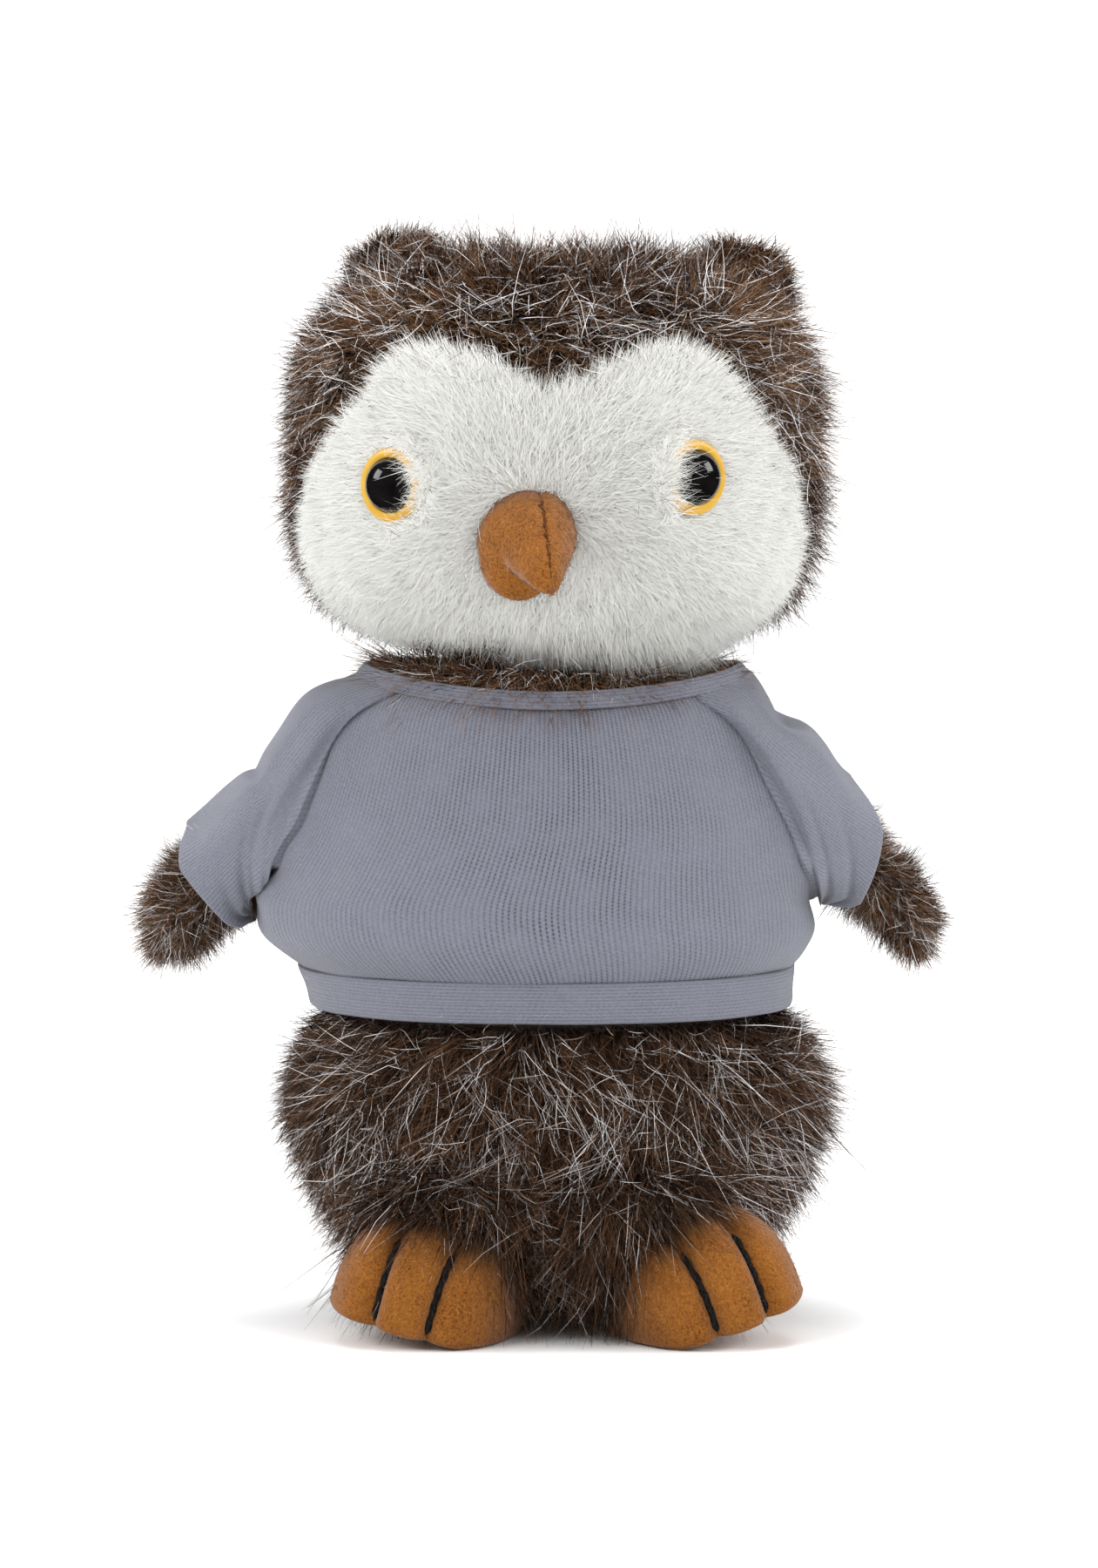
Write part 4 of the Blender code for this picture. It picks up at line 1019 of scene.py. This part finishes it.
seam_way = np.linspace(0.26, 0.93, 160)
wander = pi / 2 + 0.035 * ripple(spread(seam_way * 0.02, 0, 0), 0.0010, 99)
seam_path = np.array([
    beak_at(np.array([[way]]), np.array([turn]), 0.00008)[0, 0] for way, turn in zip(seam_way, wander)])
seam_thick = 0.00030 * np.sin(np.linspace(0.02, pi - 0.02, 160)) ** 0.4 * (1 + 0.35 * np.sin(seam_way * 90))
seam_tube = tube(seam_path, np.array([0.0, -0.4, 1.0]), seam_thick[:, None], np.linspace(0, 2 * pi, 9))
stand(surface("beak_seam_thread", seam_tube, seam_brown), "head")

# Wings. A flat stuffed paddle of the brown fur on each side, sewn to the shoulder and hanging out of its
# sleeve.

shoulder_out, shoulder_up, shoulder_lean = 0.034, 0.097, radians(15)
wing_reach = {"left": 0.019, "right": 0.023}
wing_drop, wing_deep = 0.0415, 0.022
sleeve_end = {"left": 0.44, "right": 0.56}
wing_trim = {"left": 0.20, "right": 0.0}
tip_out = {"left": 0.003, "right": 0.012}
wing_shares = (
    (0.0, 0.0, 0.075, 0.0, 0.445, 1.0), (0.2, 0.275, 0.215, 0.04, 0.565, 0.99),
    (0.38, 0.525, 0.35, 0.09, 0.69, 0.94), (0.56, 0.705, 0.525, 0.16, 0.79, 0.82),
    (0.78, 0.97, 0.675, 0.36, 0.915, 0.66), (0.92, 0.93, 0.83, 0.50, 0.98, 0.46),
    (1.0, 0.72, 0.97, 0.72, 0.97, 0.0),
)


def wing_at(way, turns, side, grow):
    """Sections of a wing from shoulder to tip: ovals between its upper and lower edge, grown outwards."""
    top_out, top_drop, low_out, low_drop, deep = np.moveaxis(smooth(wing_shares, way), -1, 0)
    top, low = (
        np.stack([out * wing_reach[side] + drop * wing_drop * tan(shoulder_lean), -drop * wing_drop], axis=-1)
        for out, drop in ((top_out, top_drop), (low_out, low_drop)))
    half = (top - low) / 2
    length = np.maximum(np.linalg.norm(half, axis=-1, keepdims=True), 0.0003)
    half = half * np.maximum(1 + grow / length, 0.1)
    section = ((top + low) / 2)[:, None] + half[:, None] * np.sin(turns)[:, None]
    y = np.maximum(deep * wing_deep / 2 + grow, 0)[:, None] * np.cos(turns)
    return spread(signs[side] * (section[..., 0] + shoulder_out), y, section[..., 1] + shoulder_up)


for side, sign in signs.items():
    body = side + "_wing"
    way = 0.95 * (1 - np.linspace(1, 0, 50) ** 1.3)
    grid = wing_at(way, np.linspace(0, 2 * pi, 73)[::sign], side, -0.0042)
    grid[-1] = grid[-1].mean(axis=0)
    stand(surface("wing_skin_" + side, grid, fur_ground_shade), body, "wing_" + side, fill=0.7)
    bare = grid[int(50 * (sleeve_end[side] - 0.14)):]
    tip_aside = shoulder_out + wing_reach[side] + tip_out[side]
    tip = np.array([sign * tip_aside, 0, shoulder_up - wing_drop - 0.012])
    for name, count, seed, looks, form in (
        ("wing_pile_", 30000, 101, fur_pile, dict(
            length=0.0046, width=0.00019, lift=0.5, curl=0.55, tint=(0.2, 1.0), lock=0.8, soft=0.45)),
        ("wing_guard_hair_", 4000, 103, guard_hair, dict(
            length=0.0056, width=0.00015, lift=0.44, curl=0.85, levels=5, lock=0.8, wave=0.14, soft=0.5)),
    ):
        coat(
            name + side, body, bare, count, (seed + sign, seed + 5 + sign),
            lambda place, normal: flat_to(unit(tip - place) + 0.6 * ripples(place, 0.01, 105), normal), looks,
            trim=lambda place, normal, row: 1 - wing_trim[side] * rise(sign * normal[:, 0], 0, 1),
            sag=0.1, **form)

# Sleeves. Raglan sleeves of the same jersey, its ribs running down the sleeve, from a slanting seam on the
# shirt to a turned hem. Each crumples where it leaves the body, and the right one hangs a little longer.

raglan = {
    "left": ((0, 0, 97.4), (30, 30, 97.3), (50, 46.8, 96.8), (75, 37.8, 91), (95, 31.9, 84),
             (115, 26.1, 78.5), (140, 15, 71.5), (165, 6, 66.5), (180, 0, 65)),
    "right": ((0, 0, 97.4), (30, 28, 97.3), (50, 42, 96.8), (75, 20, 89.5), (95, 13, 83.5), (115, 10, 78.5),
              (140, 6, 74), (165, 2, 70), (180, 0, 68.5)),
}
sleeve_full = {"left": 0.0024, "right": 0.0028}
sleeve_short = {"left": 0.0045, "right": 0.0004}
sleeve_swell = {"left": -0.0016, "right": 0.0026}
sleeve_folds = {
    "left": ((0.34, 0.05, 0.0009, 150, 45), (0.46, 0.05, -0.0005, 140, 50), (0.60, 0.045, 0.0012, 130, 50),
             (0.84, 0.035, 0.0009, 105, 60), (0.10, 0.05, -0.0006, 10, 40), (0.36, 0.06, 0.0008, 10, 45)),
    "right": ((0.36, 0.04, 0.0009, 130, 45), (0.66, 0.04, 0.0016, 50, 90), (0.56, 0.04, -0.0006, 100, 60),
              (0.74, 0.035, 0.0012, 110, 45), (0.88, 0.03, 0.0008, 140, 45)),
}
lip_way, lip_rows, rounding_passes, clearing_passes = 0.06, 4, 60, 12
sleeve_way = np.concatenate([np.linspace(0, lip_way, lip_rows + 1)[:-1], np.linspace(lip_way, 1, 90)])


def off_the_body(points):
    """Points, with those inside the shirt pushed straight out from the body's middle till they clear it."""
    height = np.clip(points[..., 2], 0, neck_height)
    wide, deep, back, aside = body_sizes(height)
    x, y = points[..., 0] - aside, points[..., 1] - back
    room = slack(height, np.arctan2(y / deep, x / wide)) + 0.0006
    reach = np.abs(x / (wide + room)) ** body_square + np.abs(y / (deep + room)) ** body_square
    push = np.maximum(1, 1 / np.maximum(reach ** (1 / body_square), 0.05))
    return spread(x * push + aside, y * push + back, points[..., 2])


for side, sign in signs.items():
    turns = np.linspace(0, 2 * pi, 121)[::sign]
    from_top = np.degrees((turns - pi / 2) % (2 * pi))
    frontness = np.sin(np.radians(from_top))
    folded = np.where(from_top > 180, 360 - from_top, from_top)
    angle, height = smooth(raglan[side], folded).T
    angle = np.radians(angle) * np.where(from_top > 180, 1, -1)
    angle = angle if sign > 0 else pi - angle
    seam_ring = body_at(height / 1000, angle, 0.0006)
    seam_lip = body_at(height / 1000, angle, np.interp(folded, [0, 50, 75], [0.0014, 0.0016, 0.0022]))
    cuff = wing_at(np.array([sleeve_end[side]]), turns, side, sleeve_full[side])[0]
    halfway = cuff * 0.45 + seam_lip * 0.55
    halfway = halfway + 0.0016 * unit(halfway - halfway.mean(axis=0))
    halfway[:, 1] -= 0.0070 * np.clip(frontness, -0.4, 1)
    cuff[:, 1] -= 0.0024 * np.clip(frontness, 0, 1)
    keys = np.stack([seam_ring, seam_lip, halfway, cuff]).reshape(4, -1)
    table = np.concatenate([np.array([0, lip_way, 0.5, 1.0])[:, None], keys], axis=1)
    way = sleeve_way[:, None]
    grid = smooth(table, sleeve_way).reshape(len(way), -1, 3)

    rounding = (rise(way, lip_way, 0.16) * rise(way, 1, -0.1))[..., None]
    for step in range(rounding_passes):
        ring = grid[:, :-1]
        ring = ring + 0.5 * rounding * ((np.roll(ring, 1, axis=1) + np.roll(ring, -1, axis=1)) / 2 - ring)
        grid = np.concatenate([ring, ring[:, :1]], axis=1)
    for step in range(clearing_passes):
        grid[lip_rows:] = off_the_body(grid[lip_rows:])
        soft = grid.copy()
        soft[lip_rows:-1] = 0.5 * grid[lip_rows:-1] + 0.25 * (grid[lip_rows - 1:-2] + grid[lip_rows + 1:])
        grid = soft
    grid[lip_rows:] = off_the_body(grid[lip_rows:])

    middle = grid.mean(axis=1, keepdims=True)
    out = unit(grid - middle)
    hang = unit(middle[-1, 0] - middle[45, 0])
    before = rise(middle[..., 1] - grid[..., 1], 0, 0.011) ** 1.3
    swell = sleeve_swell[side] * bell(folded, 0, 48) * bell(way, 0.38, 0.15)
    grid[..., 2] += swell * rise(way, 0.05, 0.2)
    above = bell(folded, 0, 50) * sleeve_short[side]
    grid = grid + hang * ((0.0042 * before - above) * rise(way, 0.4, 0.6) ** 1.5)[..., None]
    slanted = way + 0.05 * np.sin(np.radians(folded) * 2)
    folds = sum(-depth * bell(slanted, at, wide) * bell(folded, facing, spread_over)
                for at, wide, depth, facing, spread_over in sleeve_folds[side])
    soft = 0.0005 * ripple(grid, 0.016, 111 + sign) * rise(way, 0, 1 / 6)
    grid = grid + out * (folds + soft)[..., None]
    seam_proud = np.interp(way, [0, 0.05, 0.08], [-0.0006, -0.0006, 0.0008])
    in_front = rise(frontness, 0, 0.45) * (1 - 0.8 * rise(way, 0.5, 0.5))
    grid = bridged(neck_rise(grid), seam_proud, in_front)

    onward, inward = unit(grid[-1] - grid[-4]), -out[-1]
    hem = [grid[-1] + 0.0006 * (onward * sin(a) + inward * (1 - cos(a))) for a in np.linspace(0, pi, 9)[1:]]
    hem += [grid[-1] + inward * 0.0012 - onward * step for step in (0.001, 0.0022, 0.0035)]
    grid = np.concatenate([grid, np.stack(hem)])
    made = surface("sleeve_cloth_" + side, grid, jersey, around(grid))
    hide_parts("sleeve_" + side)
    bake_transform(made)

# Inside. Loose fibre fills the head and the body too, a cloth bag of pellets weights the base, and a nylon
# washer holds each eye behind the face. None of it shows.

bag = speckled("pellet_bag_cloth", None, 1200.0, (0.3, (0.62, 0.60, 0.54)), (0.7, (0.74, 0.72, 0.66)),
               roughness=0.9)
bag.bump(bag.node("ShaderNodeTexVoronoi", {}, {"Vector": bag.place(), "Scale": 350.0}), 0.0006)
nylon = speckled("washer_nylon", None, 500.0, (0.3, (0.72, 0.72, 0.69)), (0.7, (0.78, 0.78, 0.75)),
                 bumps=(1500.0, 0.00005), roughness=0.45)

for node, finish in (
    ("body_stuffing", fibre), ("head_stuffing", fibre), ("pellet_bag", bag),
    ("eye_washer_left", nylon), ("eye_washer_right", nylon),
):
    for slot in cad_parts[node].material_slots:
        slot.material = finish.material
